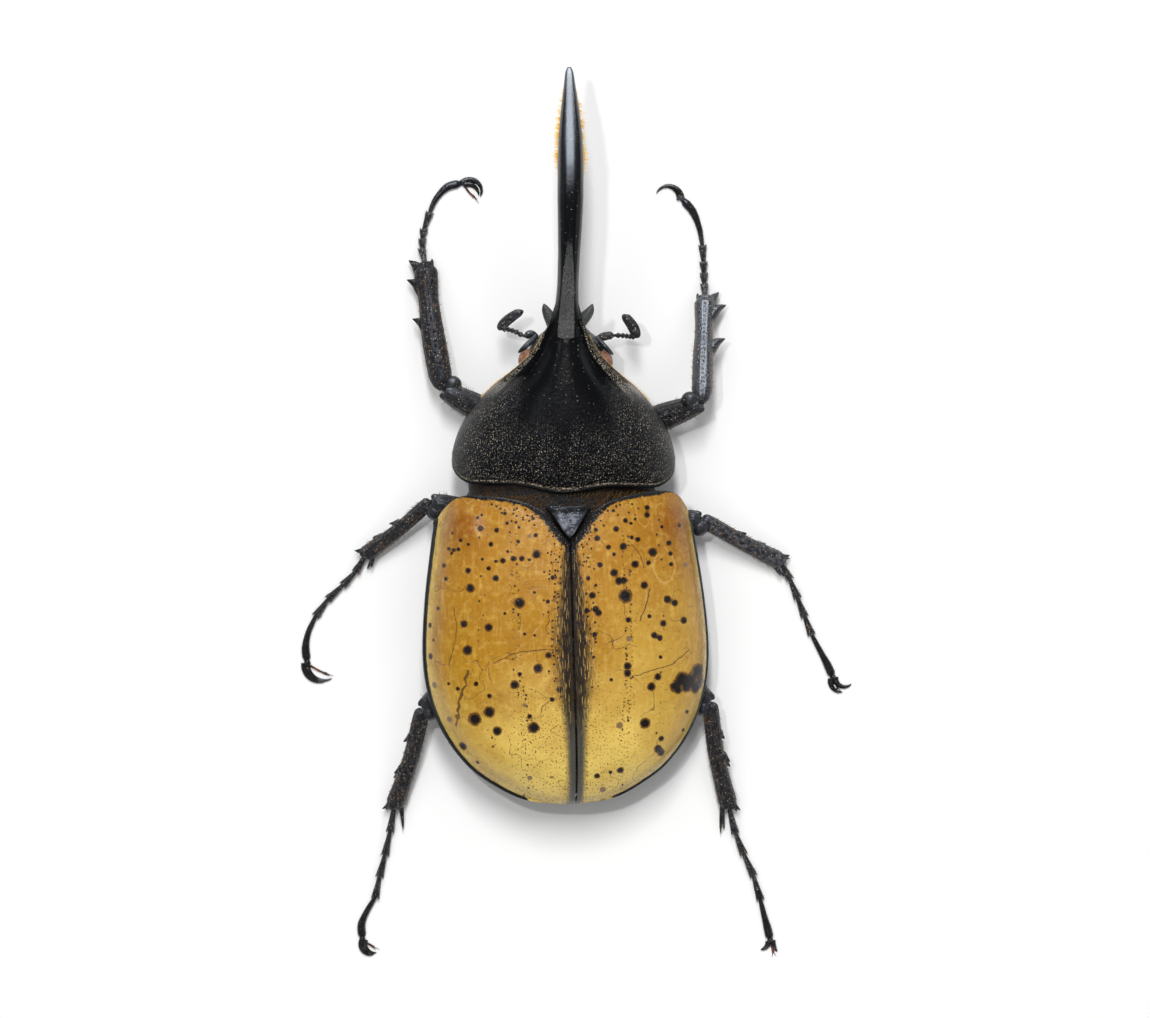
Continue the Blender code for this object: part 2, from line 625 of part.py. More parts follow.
def build_thorax(parent):
    """The middle and hind thorax, from the neck under the pronotum back to the first belly plate."""
    rear = WAIST + GAP
    stations = [rear + (THORAX_FRONT - rear) * k / THORAX_STEPS for k in range(THORAX_STEPS + 1)]
    rings = []
    for y in stations:
        width = elytra_half_width(y) - BODY_INSET
        top = elytra_ridge(y) - BODY_INSET - BACK_INSET
        rings.append(body_ring(y, width, top, BELLY_DEPTH))
    for share in (0.35, 0.7, 1.0):
        neck_width = width + (NECK_HALF_WIDTH - width) * share ** 0.7
        neck_top = NECK_TOP + (top - NECK_TOP) * (1 - share) ** 1.5
        neck_depth = BELLY_DEPTH - NECK_DEPTH_FALL * share
        rings.append(body_ring(THORAX_FRONT + NECK_REACH * share, neck_width, neck_top, neck_depth))
    return add_part("thorax", loft(rings), "dark_hair", parent)


def build_abdomen(parent):
    """The abdomen: overlapping belly plates and the rounded tail plate under the wing cases' tips."""
    rings = []
    for plate in range(STERNITES):
        for share in (0.0, 0.45, 0.92):
            turn = math.pi / 2 * ((plate + share) / STERNITES) ** ARCH_POWER
            y = WAIST - (ABDOMEN_REAR + WAIST) * math.sin(turn)
            roundness = max(1 - (y / ABDOMEN_REAR) ** 2, 0.004)
            width = (ELYTRA_HALF_WIDTH - BODY_INSET) * math.sqrt(roundness) - ABDOMEN_SIDE_GAP
            top = (ELYTRA_HEIGHT - BODY_INSET - BACK_INSET) * roundness ** RIDGE_TAIL_POWER
            depth = BELLY_DEPTH * math.cos(turn) ** 0.42 + STERNITE_STEP * share * math.cos(turn)
            rings.append(body_ring(y, width, top, depth))
    return add_part("abdomen", loft(rings), "black_shell", parent)


def pronotum_rear_edge(x):
    """How far forward of the middle of the hind edge that edge lies at a distance from the midline."""
    x = abs(x)
    sinus = PRONOTUM_SINUS * (1 - math.cos(math.pi * min(x / SINUS_REACH, 1.0))) / 2
    beyond = min(max(x - (PRONOTUM_HALF_WIDTH - PRONOTUM_CORNER), 0.0), PRONOTUM_CORNER)
    return sinus + PRONOTUM_CORNER - math.sqrt(max(PRONOTUM_CORNER ** 2 - beyond ** 2, 0.0))


def pronotum_ring(station, upper=24, lower=14):
    """A cross-section of the pronotum: an arch that narrows to a bell towards the horn."""
    y, width, top, edge, under = station
    flare = PRONOTUM_FLARE * min(max((y - FLARE_FROM) / (FLARE_TO - FLARE_FROM), 0.0), 1.0)
    rear_share = max(1 - y / REAR_EDGE_DEPTH, 0.0)
    ring = []
    for k in range(upper):
        angle = math.pi * k / upper
        across, rise = math.cos(angle), math.sin(angle)
        x = width * ((1 - flare) * across + flare * across ** 3)
        ring.append((x, y + pronotum_rear_edge(x) * rear_share, edge + (top - edge) * rise ** 0.9))
    for k in range(lower):
        angle = math.pi * k / lower
        x = -width * signed_power(math.cos(angle), 0.9)
        fall = (edge - under) * math.sin(angle) ** 0.85
        ring.append((x, y + pronotum_rear_edge(x) * rear_share, edge - fall))
    return ring


def build_pronotum(parent):
    """The great shield behind the head, which closes round the front legs' roots."""
    rings = [pronotum_ring(station) for station in PRONOTUM_STATIONS]
    return add_part("pronotum", loft(rings, fan=True), "black_shell", parent)


def horn_offset(y):
    """Sideways lean of the horn at a distance forward, from its slight bow."""
    share = (y - HORN_STATIONS[0][0]) / (HORN_STATIONS[-1][0] - HORN_STATIONS[0][0])
    return HORN_LEAN * share + HORN_BOW * math.sin(math.pi * share)


def build_thoracic_horn(parent):
    """The long upper horn with the pair of small teeth at its root."""
    rings = []
    for y, width, top, depth in HORN_STATIONS:
        middle = top - depth / 2
        ring = []
        for k in range(HORN_SIDES):
            angle = 2 * math.pi * (k + 0.5) / HORN_SIDES
            across, rise = math.cos(angle), math.sin(angle)
            pinch = 1.0 + (HORN_CROWN if rise > 0 else -HORN_KEEL) * abs(rise)
            x = horn_offset(y) + width * pinch * signed_power(across, 0.9)
            ring.append((x, y, middle + depth / 2 * signed_power(rise, 0.9)))
        rings.append(ring)
    horn = add_part("thoracic_horn", loft(rings), "black_shell", parent)
    teeth = []
    for side in (-1, 1):
        path = [(side * x, y, z) for x, y, z in HORN_TOOTH_PATH]
        profile = [(k / 3, radius * 0.8, radius) for k, radius in enumerate(HORN_TOOTH_RADII)]
        teeth.append(add_part("tooth", sweep(path, profile, 7), "black_shell", parent))
    return fuse(horn, teeth)


def build_head(parent, pronotum):
    """The head capsule, with a ledge before each eye, cut to fit the pronotum's opening."""
    rings = []
    for y, width, middle, half in HEAD_STATIONS:
        ring = []
        power = LEDGE_POWER if LEDGE_FROM < y < LEDGE_TO else 1.05
        for k in range(HEAD_SIDES):
            angle = 2 * math.pi * k / HEAD_SIDES
            across, rise = math.cos(angle), math.sin(angle)
            notch = CLYPEUS_NOTCH * max(1 - abs(across) * 2.2, 0.0) if y > CLYPEUS_FROM else 0.0
            x = HEAD_SHIFT + width * signed_power(across, power)
            ring.append((x, y - notch, middle + half * signed_power(rise, 0.9)))
        rings.append(ring)
    head = add_part("head", loft(rings), "black_shell", parent)
    cut_clear(head, pronotum)
    return head


def build_head_horn(parent, head):
    """The lower horn, rising from the head and curving up under the upper one, with one tooth above."""
    path = [(0.0, y, z) for y, z, *rest in HEAD_HORN_STATIONS]
    last = len(path) - 1
    profile = [(k / last, wide, deep) for k, (y, z, wide, deep) in enumerate(HEAD_HORN_STATIONS)]
    horn = add_part("head_horn", sweep(path, profile, 10), "black_shell", parent)
    root = Vector((0.0, *CREST_TOOTH_AT))
    crest = [root] + [root + Vector((0.0, *rise)) for rise in CREST_TOOTH_RISE]
    shape = sweep(crest, ((0, 0.5, 0.9), (0.5, 0.4, 0.7), (1, 0.14, 0.14)), 6, (0, 1, 0))
    tooth = add_part("crest", shape, "black_shell", parent)
    fuse(horn, [tooth])
    cut_clear(horn, head)
    return horn


def build_eye(side, parent, head, pronotum):
    """One compound eye, showing just outside the pronotum's front edge."""
    shape = bmesh.new()
    x, y, z = EYE_PLACE
    place = Matrix.Translation((HEAD_SHIFT + side * x, y, z))
    bmesh.ops.create_uvsphere(shape, u_segments=12, v_segments=8, radius=EYE_RADIUS, matrix=place)
    eye = add_part("eye_right" if side > 0 else "eye_left", shape, "eye", parent)
    cut_clear(head, eye)
    cut_clear(eye, pronotum)
    return eye


def build_mouthparts(side, parent, head):
    """A mandible and a jaw feeler under the front of the head."""
    name = "right" if side > 0 else "left"
    jaw = [(side * x, y, z) for x, y, z in MANDIBLE_PATH]
    mandible = add_part("mandible_" + name, sweep(jaw, MANDIBLE_RADII, 7, flat=0.7), "black_shell", parent)
    cut_clear(mandible, head)
    reach = [(side * x, y, z) for x, y, z in PALP_PATH]
    palp = add_part("palp_" + name, sweep(reach, PALP_RADII, 6), "leg_shell", parent)
    cut_clear(palp, head)


def build_antenna(name, parent, head):
    """A feeler: a swollen first joint, a beaded shaft and a three-leaved club folded back."""
    shaft, club = ANTENNA_PATHS[name]
    profile = list(SCAPE_RADII)
    for bead in range(SHAFT_BEADS):
        start = SHAFT_FROM + bead * (1 - SHAFT_FROM) / SHAFT_BEADS
        profile += [(start, 0.27), (start + BEAD_LENGTH, 0.37)]
    profile += [(1.0, 0.3)]
    stalk = add_part("antenna_" + name, sweep(shaft, profile, 7), "leg_shell", parent)
    leaf = add_part("club", sweep([shaft[-1], *club], CLUB_RADII, 9), "leg_shell", parent)
    fuse(stalk, [leaf])
    cut_clear(stalk, head)
    return stalk


def miter(shape, joint, before, after, keep_before):
    """Cuts a limb at the plane that halves the bend between two neighbours, half a gap short of it."""
    facing = ((joint - before).normalized() + (after - joint).normalized()).normalized()
    if keep_before:
        trim(shape, joint - facing * GAP / 2, facing)
    else:
        trim(shape, joint + facing * GAP / 2, -facing)


def limb(start, end, radii, girth=1.0, bow=None, spare_end=LIMB_SPARE, flat=1.0):
    """A limb between two joints, bowed sideways in its middle, with spare length at its ends for the cuts."""
    heading = (end - start).normalized()
    low = start - heading * LIMB_SPARE
    high = end + heading * spare_end
    middle = (low + high) / 2 + (bow if bow else Vector())
    whole = (high - low).length
    length = (end - start).length
    profile = [(0.0, radii[0][1] * girth)]
    profile += [((LIMB_SPARE + share * length) / whole, radius * girth) for share, radius in radii[1:-1]]
    profile += [(1.0, radii[-1][1] * girth)]
    return sweep([low, middle, high], profile, LIMB_SIDES, flat=flat)


def trim_part(part, place, facing):
    """Cuts a finished part at a plane given in millimetres."""
    shape = bmesh.new()
    shape.from_mesh(part.data)
    trim(shape, Vector(place) * MM, facing)
    shape.to_mesh(part.data)
    shape.free()


def set_origin(part, place):
    """Moves a part's own origin to a place in millimetres and leaves its shape where it is."""
    part.data.transform(Matrix.Translation(-Vector(place) * MM))
    part.location = Vector(place) * MM


def outward_of(leg, heading):
    """The level direction across a leg's tibia, away from the body's middle."""
    outward = heading.cross(Vector((0, 0, 1))).normalized()
    return outward if outward.x * leg["outer"] > 0 else -outward


def tibia_spines(leg, knee, ankle):
    """Teeth, spines and spurs of one tibia, as closed shapes whose roots lie inside it."""
    heading = (ankle - knee).normalized()
    outward = outward_of(leg, heading)
    rise = heading.cross(outward) * (1 if heading.cross(outward).z > 0 else -1)
    length = (ankle - knee).length
    spines = []
    for share, reach in leg["teeth"]:
        root = knee + heading * length * min(share - 0.05, 0.93)
        tip = knee + heading * length * share + outward * reach
        path = [root, root + outward * reach * 0.6, tip]
        spines.append(sweep(path, TOOTH_RADII, 7))
    for share, reach, height in leg["spines"]:
        root = knee + heading * length * share + outward * 0.6 + rise * height
        spines.append(sweep([root, root + outward * reach + heading * 1.2], SPINE_RADII, 6))
    for forward, inward, height in leg["spurs"]:
        root = ankle - heading * 0.8 - outward * 0.72 + rise * height * 0.6
        tip = ankle + heading * forward - outward * inward + rise * height
        spines.append(sweep([root, tip], SPINE_RADII, 6))
    return spines


def build_leg(name, leg, bodies):
    """One leg: coxa, femur, tibia, five-jointed tarsus and its pair of claws."""
    coxa, hip, knee, ankle = (Vector(leg[key]) for key in ("coxa", "hip", "knee", "ankle"))
    toes = [Vector(p) for p in leg["toes"]]
    foot = [toes[-1]] + [Vector(p) for p in leg["foot"]]

    path = [coxa + Vector((0, 0, 1.5)), coxa, hip + (hip - coxa) * 0.35]
    shape = sweep(path, COXA_RADII, LIMB_SIDES)
    miter(shape, hip, coxa, knee, True)
    root = add_part("coxa_" + name, shape, "leg_shell")
    cut_clear(root, bodies[leg["body"]])

    femur = add_part("femur_" + name, limb(hip, knee, FEMUR_RADII), "leg_shell")
    swelling = bmesh.new()
    place = Matrix.Translation((*leg["knob"], knee.z - 0.3))
    bmesh.ops.create_uvsphere(swelling, u_segments=10, v_segments=7, radius=KNOB_RADIUS, matrix=place)
    fuse(femur, [add_part("knob", swelling, "leg_shell")])
    bend_hip = ((hip - coxa).normalized() + (knee - hip).normalized()).normalized()
    bend_knee = ((knee - hip).normalized() + (ankle - knee).normalized()).normalized()
    trim_part(femur, hip + bend_hip * GAP / 2, -bend_hip)
    trim_part(femur, knee - bend_knee * GAP / 2, bend_knee)
    for body in bodies.values():
        cut_clear(femur, body)

    radii = FRONT_TIBIA_RADII if leg["teeth"] else TIBIA_RADII
    bow = outward_of(leg, (ankle - knee).normalized()) * -leg["bow"]
    shape = limb(knee, ankle, radii, leg["girth"], bow, spare_end=0.0, flat=TIBIA_FLAT)
    miter(shape, knee, hip, ankle, False)
    tibia = add_part("tibia_" + name, shape, "leg_shell")
    fuse(tibia, [add_part("spine", spine, "leg_shell") for spine in tibia_spines(leg, knee, ankle)])

    build_foot(name, leg, toes, foot)
    set_origin(root, coxa)
    set_origin(femur, hip)
    set_origin(tibia, knee)


def build_foot(name, leg, toes, foot):
    """The five tarsal joints, four short and one long, and the claws, all laid on the floor."""
    knee, ankle = Vector(leg["knee"]), Vector(leg["ankle"])
    points = [ankle] + toes[1:]
    path = points + foot[1:]
    last = len(path) - 1
    profile = []
    for joint in range(len(points) - 1):
        profile += [((joint + share) / last, radius) for share, radius in TOE_BEAD]
    first = len(points) - 1
    profile += [((first + share * (last - first)) / last, radius) for share, radius in FOOT_RADII]
    shape = sweep(path, profile, 8)
    end, before = path[-1], path[-2]
    facing = (end - before).normalized()
    trim(shape, end - facing * GAP / 2, facing)
    trim(shape, Vector((0, 0, 0)), Vector((0, 0, -1)))
    heading = (ankle - knee).normalized()
    trim(shape, ankle + heading * GAP, -heading)
    tarsus = add_part("tarsus_" + name, shape, "leg_shell")
    set_origin(tarsus, ankle)

    hooks = []
    for heading_deg, turn, length, drop, spread in leg["claws"]:
        hooks.append(claw_shape(end, facing, heading_deg, turn, length, drop, spread))
    claws = add_part("claws_" + name, hooks[0], "black_shell")
    knuckle = sweep([end + facing * (GAP / 2), end + facing * 0.9], ((0, 0.5), (1, 0.42)), 8)
    extras = [add_part("hook", hooks[1], "black_shell"), add_part("knuckle", knuckle, "black_shell")]
    fuse(claws, extras)
    trim_part(claws, (0.0, 0.0, 0.0), Vector((0, 0, -1)))
    trim_part(claws, end + facing * GAP / 2, -facing)
    keep_largest(claws)
    set_origin(claws, end)


def claw_shape(root, facing, heading_deg, turn, length, drop, spread):
    """One curved claw: an arc in plan that starts at root and sinks by drop to the floor."""
    side = facing.cross(Vector((0, 0, 1))).normalized()
    place = root + facing * 0.35 + side * spread
    points = [place.copy()]
    steps = 6
    for k in range(1, steps + 1):
        angle = math.radians(heading_deg + turn * (k - 0.5) / steps)
        place = place + Vector((math.cos(angle), math.sin(angle), 0)) * (length / steps)
        resting = between(CLAW_RADII, k / steps, 1) * 0.8
        points.append(Vector((place.x, place.y, max(resting, root.z - drop * (k / steps) ** 1.4))))
    return sweep(points, CLAW_RADII, 6)


def stand_in_the_middle():
    """Moves the whole beetle so that the origin lies under the middle of its outline."""
    bpy.context.view_layer.update()
    parts = [part for part in BEETLE.objects if part.type == "MESH"]
    points = [part.matrix_world @ vertex.co for part in parts for vertex in part.data.vertices]
    shift = Vector((0.0, 0.0, 0.0))
    for axis in (0, 1):
        places = [point[axis] for point in points]
        shift[axis] = -(min(places) + max(places)) / 2
    for part in BEETLE.objects:
        if part.parent is None:
            part.location += shift


BEETLE, CUTTERS = clear_scene()


def main():
    """Builds every part of the beetle, body first and then its legs."""
    front = frame_empty("front_body", FRONT_ORIGIN, FRONT_YAW, 0.0)
    hind = frame_empty("hind_body", HIND_ORIGIN, HIND_YAW, HIND_ROLL)
    bpy.context.view_layer.update()
    pronotum = build_pronotum(front)
    build_thoracic_horn(front)
    head = build_head(front, pronotum)
    for side in (-1, 1):
        build_eye(side, front, head, pronotum)
        build_mouthparts(side, front, head)
    build_head_horn(front, head)
    for name in ANTENNA_PATHS:
        build_antenna(name, front, head)
    thorax = build_thorax(hind)
    abdomen = build_abdomen(hind)
    for side in (-1, 1):
        build_elytron(side, hind)
    build_scutellum(hind)
    bpy.context.view_layer.update()
    cut_clear(thorax, pronotum)
    bodies = {"pronotum": pronotum, "thorax": thorax, "abdomen": abdomen}
    for name, leg in LEGS.items():
        build_leg(name, leg, bodies)
    stand_in_the_middle()


main()
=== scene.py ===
"""Dresses the hercules beetle: shells, horns, eyes, feelers, legs, claws and hair, and sets it on a pale floor.

Sizes in the classes are millimetres and places are (right, forward, up). The front body and the hind body each
have a frame of their own, turned a little as the specimen lies, and the legs are placed in the whole beetle's.
"""

import logging
import math
from collections.abc import Sequence
from dataclasses import dataclass, field
from enum import Enum
from typing import Any, Union

import bpy
import numpy as np
from mathutils import Matrix, Vector


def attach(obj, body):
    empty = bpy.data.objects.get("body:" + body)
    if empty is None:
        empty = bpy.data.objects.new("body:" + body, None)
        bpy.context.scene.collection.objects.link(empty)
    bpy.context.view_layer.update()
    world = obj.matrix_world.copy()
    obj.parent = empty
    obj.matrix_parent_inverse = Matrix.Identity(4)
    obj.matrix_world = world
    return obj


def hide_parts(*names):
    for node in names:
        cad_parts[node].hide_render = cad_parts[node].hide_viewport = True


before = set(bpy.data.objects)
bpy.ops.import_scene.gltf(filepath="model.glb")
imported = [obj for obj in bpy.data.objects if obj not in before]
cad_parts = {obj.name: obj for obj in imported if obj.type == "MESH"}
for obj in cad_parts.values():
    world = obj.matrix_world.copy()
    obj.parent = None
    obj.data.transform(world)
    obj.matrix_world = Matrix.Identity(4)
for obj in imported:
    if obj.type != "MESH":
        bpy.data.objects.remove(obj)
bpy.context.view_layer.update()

log = logging.getLogger("beetle")

MM = 0.001
BODY = "root"
COAT_MAP = "OFBake"
SENSOR = 36.0  # the camera's sensor, in millimetres
FAR = 9.0  # stored where a point is farther from a line than its mark reaches
Pair = tuple[float, float]
Place = tuple[float, float, float]
Colour = tuple[float, float, float, float]
Table = tuple[tuple[float, ...], ...]
Rows = Sequence[Sequence[float]]
Array = np.ndarray
Piece = bpy.types.Object
Material = bpy.types.Material
Tree = bpy.types.NodeTree
Number = Union[float, "Field"]


class Side(Enum):
    """The two sides of the beetle, as it faces away."""

    LEFT = -1
    RIGHT = 1

    @property
    def word(self) -> str:
        """The side's name in lower case."""
        return self.name.lower()


class Slot(Enum):
    """The finishes that the record names."""

    BLACK = "black_shell"
    AMBER = "amber_shell"
    HAIR = "dark_hair"
    LEG = "leg_shell"
    EYE = "eye"


def srgb(red: float, green: float, blue: float) -> Colour:
    """The linear colour, with full opacity, of everyday parts from 0 to 255."""
    parts = [part / 255 for part in (red, green, blue)]
    return (*(((part + 0.055) / 1.055) ** 2.4 if part > 0.04 else part / 12.92 for part in parts), 1.0)


@dataclass(frozen=True)
class Placing:
    """Where a body half stands: its origin, then its turn about Z and its roll about Y in degrees."""

    origin: Place
    yaw: float = 0.0
    roll: float = 0.0

    def matrix(self) -> Array:
        """The turn as a 3 by 3 matrix."""
        yaw, roll = math.radians(self.yaw), math.radians(self.roll)
        about_z = np.array([[math.cos(yaw), -math.sin(yaw), 0], [math.sin(yaw), math.cos(yaw), 0], [0, 0, 1]])
        about_y = np.array([[math.cos(roll), 0, math.sin(roll)], [0, 1, 0], [-math.sin(roll), 0, math.cos(roll)]])
        return about_z @ about_y

    def world(self, points: Array) -> Array:
        """Points of this frame in the frame of the whole beetle."""
        return np.asarray(points, float) @ self.matrix().T + np.array(self.origin)


FRONT = Placing((-1.9794, 2.8032, 0.0), yaw=-1.15)
HIND = Placing((-1.6294, -19.2968, 11.5), yaw=1.4, roll=5.0)
WHOLE = Placing((-0.1794, 0.1032, 0.0))


# ---- Numbers and meshes


def curve(x: Array, y: Array, slope: Array, at: Array) -> Array:
    """Reads a smooth curve through stations.

    Args:
        x: the stations, rising.
        y: a row of values at each.
        slope: how fast they change there.
        at: the places to read.

    Returns:
        A row of values for each place.
    """
    k = np.clip(np.searchsorted(x, at, side="right") - 1, 0, len(x) - 2)
    h = (x[k + 1] - x[k])[:, None]
    t = np.clip((at - x[k])[:, None] / h, 0, 1)
    return (
        (1 + 2 * t) * (1 - t) ** 2 * y[k]
        + t * (1 - t) ** 2 * h * slope[k]
        + t**2 * (3 - 2 * t) * y[k + 1]
        + t**2 * (t - 1) * h * slope[k + 1]
    )


def smooth_table(stations: Rows, at: Array) -> Array:
    """Reads a table of sizes as smooth curves that don't overshoot.

    Args:
        stations: rows whose first value rises, with the sizes after it.
        at: the places to read.

    Returns:
        One row of sizes for each place.
    """
    table = np.array(stations, float)
    x, y = table[:, 0], table[:, 1:]
    rate = np.diff(y, axis=0) / np.diff(x)[:, None]
    slope = np.zeros_like(y)
    slope[0], slope[-1] = rate[0], rate[-1]
    alike = rate[:-1] * rate[1:] > 0
    total = np.where(alike, rate[:-1] + rate[1:], 1.0)
    slope[1:-1] = np.where(alike, 2 * rate[:-1] * rate[1:] / total, 0.0)
    return curve(x, y, slope, at)


def smooth_path(points: Rows, shares: Array) -> Array:
    """Places along a smooth curve through the points, for shares from 0 to 1."""
    x, y = np.arange(len(points)) / (len(points) - 1), np.array(points, float)
    return curve(x, y, np.gradient(y, x, axis=0), shares)


def circle(count: int) -> Array:
    """Angles all round, evenly apart."""
    return 2 * np.pi * np.arange(count) / count


def mound(x: Array, y: Array, middle: Pair, radii: Pair) -> Array:
    """A soft mound of height 1 round a place."""
    return np.exp(-(((x - middle[0]) / radii[0]) ** 2) - (((y - middle[1]) / radii[1]) ** 2))


def power(value: Array, exponent: float) -> Array:
    """A value raised to a power, with its sign kept."""
    return np.sign(value) * np.abs(value) ** exponent


def hump(distance: Array, middle: float, width: float) -> Array:
    """A bell curve of height 1 round a middle."""
    return np.exp(-(((distance - middle) / width) ** 2))


def unit(vectors: Array) -> Array:
    """Vectors made one long."""
    return vectors / np.maximum(np.linalg.norm(vectors, axis=-1, keepdims=True), 1e-9)


def band(value: Array, low: float, high: float) -> Array:
    """A smooth step from 0 at low to 1 at high."""
    t = np.clip((value - low) / (high - low), 0, 1)
    return t * t * (3 - 2 * t)


def tube(
    path: Sequence[Place],
    radii: Rows,
    sides: int = 24,
    rings: int = 48,
    up: Place = (0.0, 0.0, 1.0),
    flat: float = 1.0,
) -> Array:
    """The rings of a limb along a smooth curve.

    Args:
        path: the points that the middle passes through.
        radii: rows of share along, half-width and, where it differs, half-height.
        sides: points in a ring.
        rings: rings along the limb.
        up: the direction of the half-height.
        flat: half-height over half-width, where radii doesn't give it.

    Returns:
        An array of rings, points and coordinates.
    """
    shares = np.linspace(0, 1, rings)
    centre = smooth_path(path, shares)
    heading = unit(np.gradient(centre, axis=0))
    side = unit(np.cross(heading, np.array(up)))
    rise = np.cross(side, heading)
    rows = [row if len(row) > 2 else (row[0], row[1], row[1] * flat) for row in radii]
    size = smooth_table(rows, shares)
    angle = circle(sides)
    return (
        centre[:, None]
        + side[:, None] * (size[:, 0, None] * np.cos(angle))[..., None]
        + rise[:, None] * (size[:, 1, None] * np.sin(angle))[..., None]
    )


def pointing(start: Array, end: Array) -> tuple[Array, Array]:
    """The direction from one point to another, and the level direction across it."""
    heading = unit(end - start)
    return heading, unit(np.cross(heading, (0, 0, 1)))


@dataclass
class Shape:
    """Points in millimetres and the faces between them."""

    points: Array
    faces: list[tuple[int, ...]]

    @classmethod
    def skin(cls, rings: Array, closed: bool = True) -> "Shape":
        """A surface over rows of points.

        Args:
            rings: an array of rows, points and coordinates.
            closed: whether the last point of a row joins the first, and a pole closes the first and last rows.

        Returns:
            The shape.
        """
        rows, count = rings.shape[:2]
        points = rings.reshape(-1, 3)
        number = np.arange(rows * count).reshape(rows, count)
        near, far = number[:-1], number[1:]
        if closed:
            quads = np.stack([near, np.roll(near, -1, 1), np.roll(far, -1, 1), far], -1)
        else:
            quads = np.stack([near[:, :-1], near[:, 1:], far[:, 1:], far[:, :-1]], -1)
        faces = [tuple(quad) for quad in quads.reshape(-1, 4).tolist()]
        if closed:
            points = np.vstack([points, rings[0].mean(0), rings[-1].mean(0)])
            first, last = rows * count, rows * count + 1
            for k in range(count):
                n = (k + 1) % count
                faces.append((first, n, k))
                faces.append((last, number[-1, k], number[-1, n]))
        return cls(points, faces)

    def and_(self, *others: "Shape") -> "Shape":
        """This shape and others as one."""
        shapes = (self, *others)
        starts = np.cumsum([0] + [len(shape.points) for shape in shapes])
        faces = [tuple(v + start for v in face) for shape, start in zip(shapes, starts) for face in shape.faces]
        return Shape(np.vstack([shape.points for shape in shapes]), faces)


def limb(path: Sequence[Place], radii: Rows, *counts: Any, **options: Any) -> Shape:
    """A closed tube with the sides, rings and options that tube takes."""
    return Shape.skin(tube(path, radii, *counts, **options))


def ellipsoid(centre: Place, radii: Place, around: int, along: int) -> Shape:
    """A closed ball with its poles above and below, as wide as its radii."""
    turn = circle(around)
    tilt = np.linspace(0, np.pi, along + 1)[1:-1, None]
    ball = np.stack([np.sin(tilt) * np.cos(turn), np.sin(tilt) * np.sin(turn), np.cos(tilt) + 0 * turn], -1)
    shape = Shape.skin(ball)
    shape.points[-2:] = (0, 0, 1), (0, 0, -1)
    return Shape(shape.points * np.array(radii) + np.array(centre), shape.faces)


def make_piece(name: str, shape: Shape, placing: Placing) -> Piece:
    """Makes an object of a shape, in metres.

    Args:
        name: the object's name.
        shape: points in the placing's frame.
        placing: the frame that the points are in.

    Returns:
        The object, at the origin.
    """
    mesh = bpy.data.meshes.new(name)
    mesh.from_pydata((placing.world(shape.points) * MM).tolist(), [], shape.faces)
    mesh.validate()
    mesh.shade_smooth()
    piece = bpy.data.objects.new(name, mesh)
    bpy.context.scene.collection.objects.link(piece)
    return piece


def bake(piece: Piece) -> Piece:
    """Turns a piece's live modifiers into its plain mesh."""
    graph = bpy.context.evaluated_depsgraph_get()
    mesh = bpy.data.meshes.new_from_object(piece.evaluated_get(graph))
    mesh.name = piece.name
    piece.modifiers.clear()
    piece.data = mesh
    return piece


def walled(piece: Piece, thickness: float) -> Piece:
    """Gives an open piece a wall inwards, so many millimetres thick."""
    wall = piece.modifiers.new("wall", "SOLIDIFY")
    wall.thickness = thickness * MM
    wall.offset = -1.0
    return bake(piece)


def grown(name: str, shape: Shape, placing: Placing, voxel: float, passes: int = 2) -> Piece:
    """Makes a piece whose overlapping shapes grow together into one skin with soft fillets.

    Args:
        name: the object's name.
        shape: closed shapes in the placing's frame.
        placing: the frame that the points are in.
        voxel: the grain of the new skin.
        passes: rounds of smoothing.

    Returns:
        The object, at the origin.
    """
    piece = make_piece(name, shape, placing)
    piece.data.transform(Matrix.Scale(1 / MM, 4))
    remesh = piece.modifiers.new("skin", "REMESH")
    remesh.mode = "VOXEL"
    remesh.voxel_size = voxel
    soften = piece.modifiers.new("soften", "SMOOTH")
    soften.factor = 0.5
    soften.iterations = passes
    bake(piece)
    piece.data.transform(Matrix.Scale(MM, 4))
    piece.data.shade_smooth()
    return piece


def outwards(piece: Piece) -> Piece:
    """Turns a closed piece's faces outwards, where its volume says that they point in."""
    points = coordinates(piece)
    piece.data.calc_loop_triangles()
    corners = np.empty(len(piece.data.loop_triangles) * 3, np.int32)
    piece.data.loop_triangles.foreach_get("vertices", corners)
    if np.linalg.det(points[corners.reshape(-1, 3)]).sum() < 0:
        piece.data.flip_normals()
    return piece


def coordinates(piece: Piece) -> Array:
    """A mesh's points in millimetres."""
    points = np.empty(len(piece.data.vertices) * 3, np.float32)
    piece.data.vertices.foreach_get("co", points)
    return points.reshape(-1, 3).astype(float) / MM


def paint(piece: Piece, **layers: Array) -> None:
    """Stores named numbers or vectors, one for each point of a mesh."""
    for name, values in layers.items():
        values = np.asarray(values, np.float32)
        kind, slot = ("FLOAT_VECTOR", "vector") if values.ndim == 2 else ("FLOAT", "value")
        piece.data.attributes.new(name, kind, "POINT").data.foreach_set(slot, values.ravel())


def unwrap(piece: Piece, places: Array, name: str = "skin") -> None:
    """Gives a mesh a UV map from one place for each point."""
    corners = np.empty(len(piece.data.loops), np.int32)
    piece.data.loops.foreach_get("vertex_index", corners)
    layer = piece.data.uv_layers.new(name=name)
    layer.uv.foreach_set("vector", places[corners].astype(np.float32).ravel())


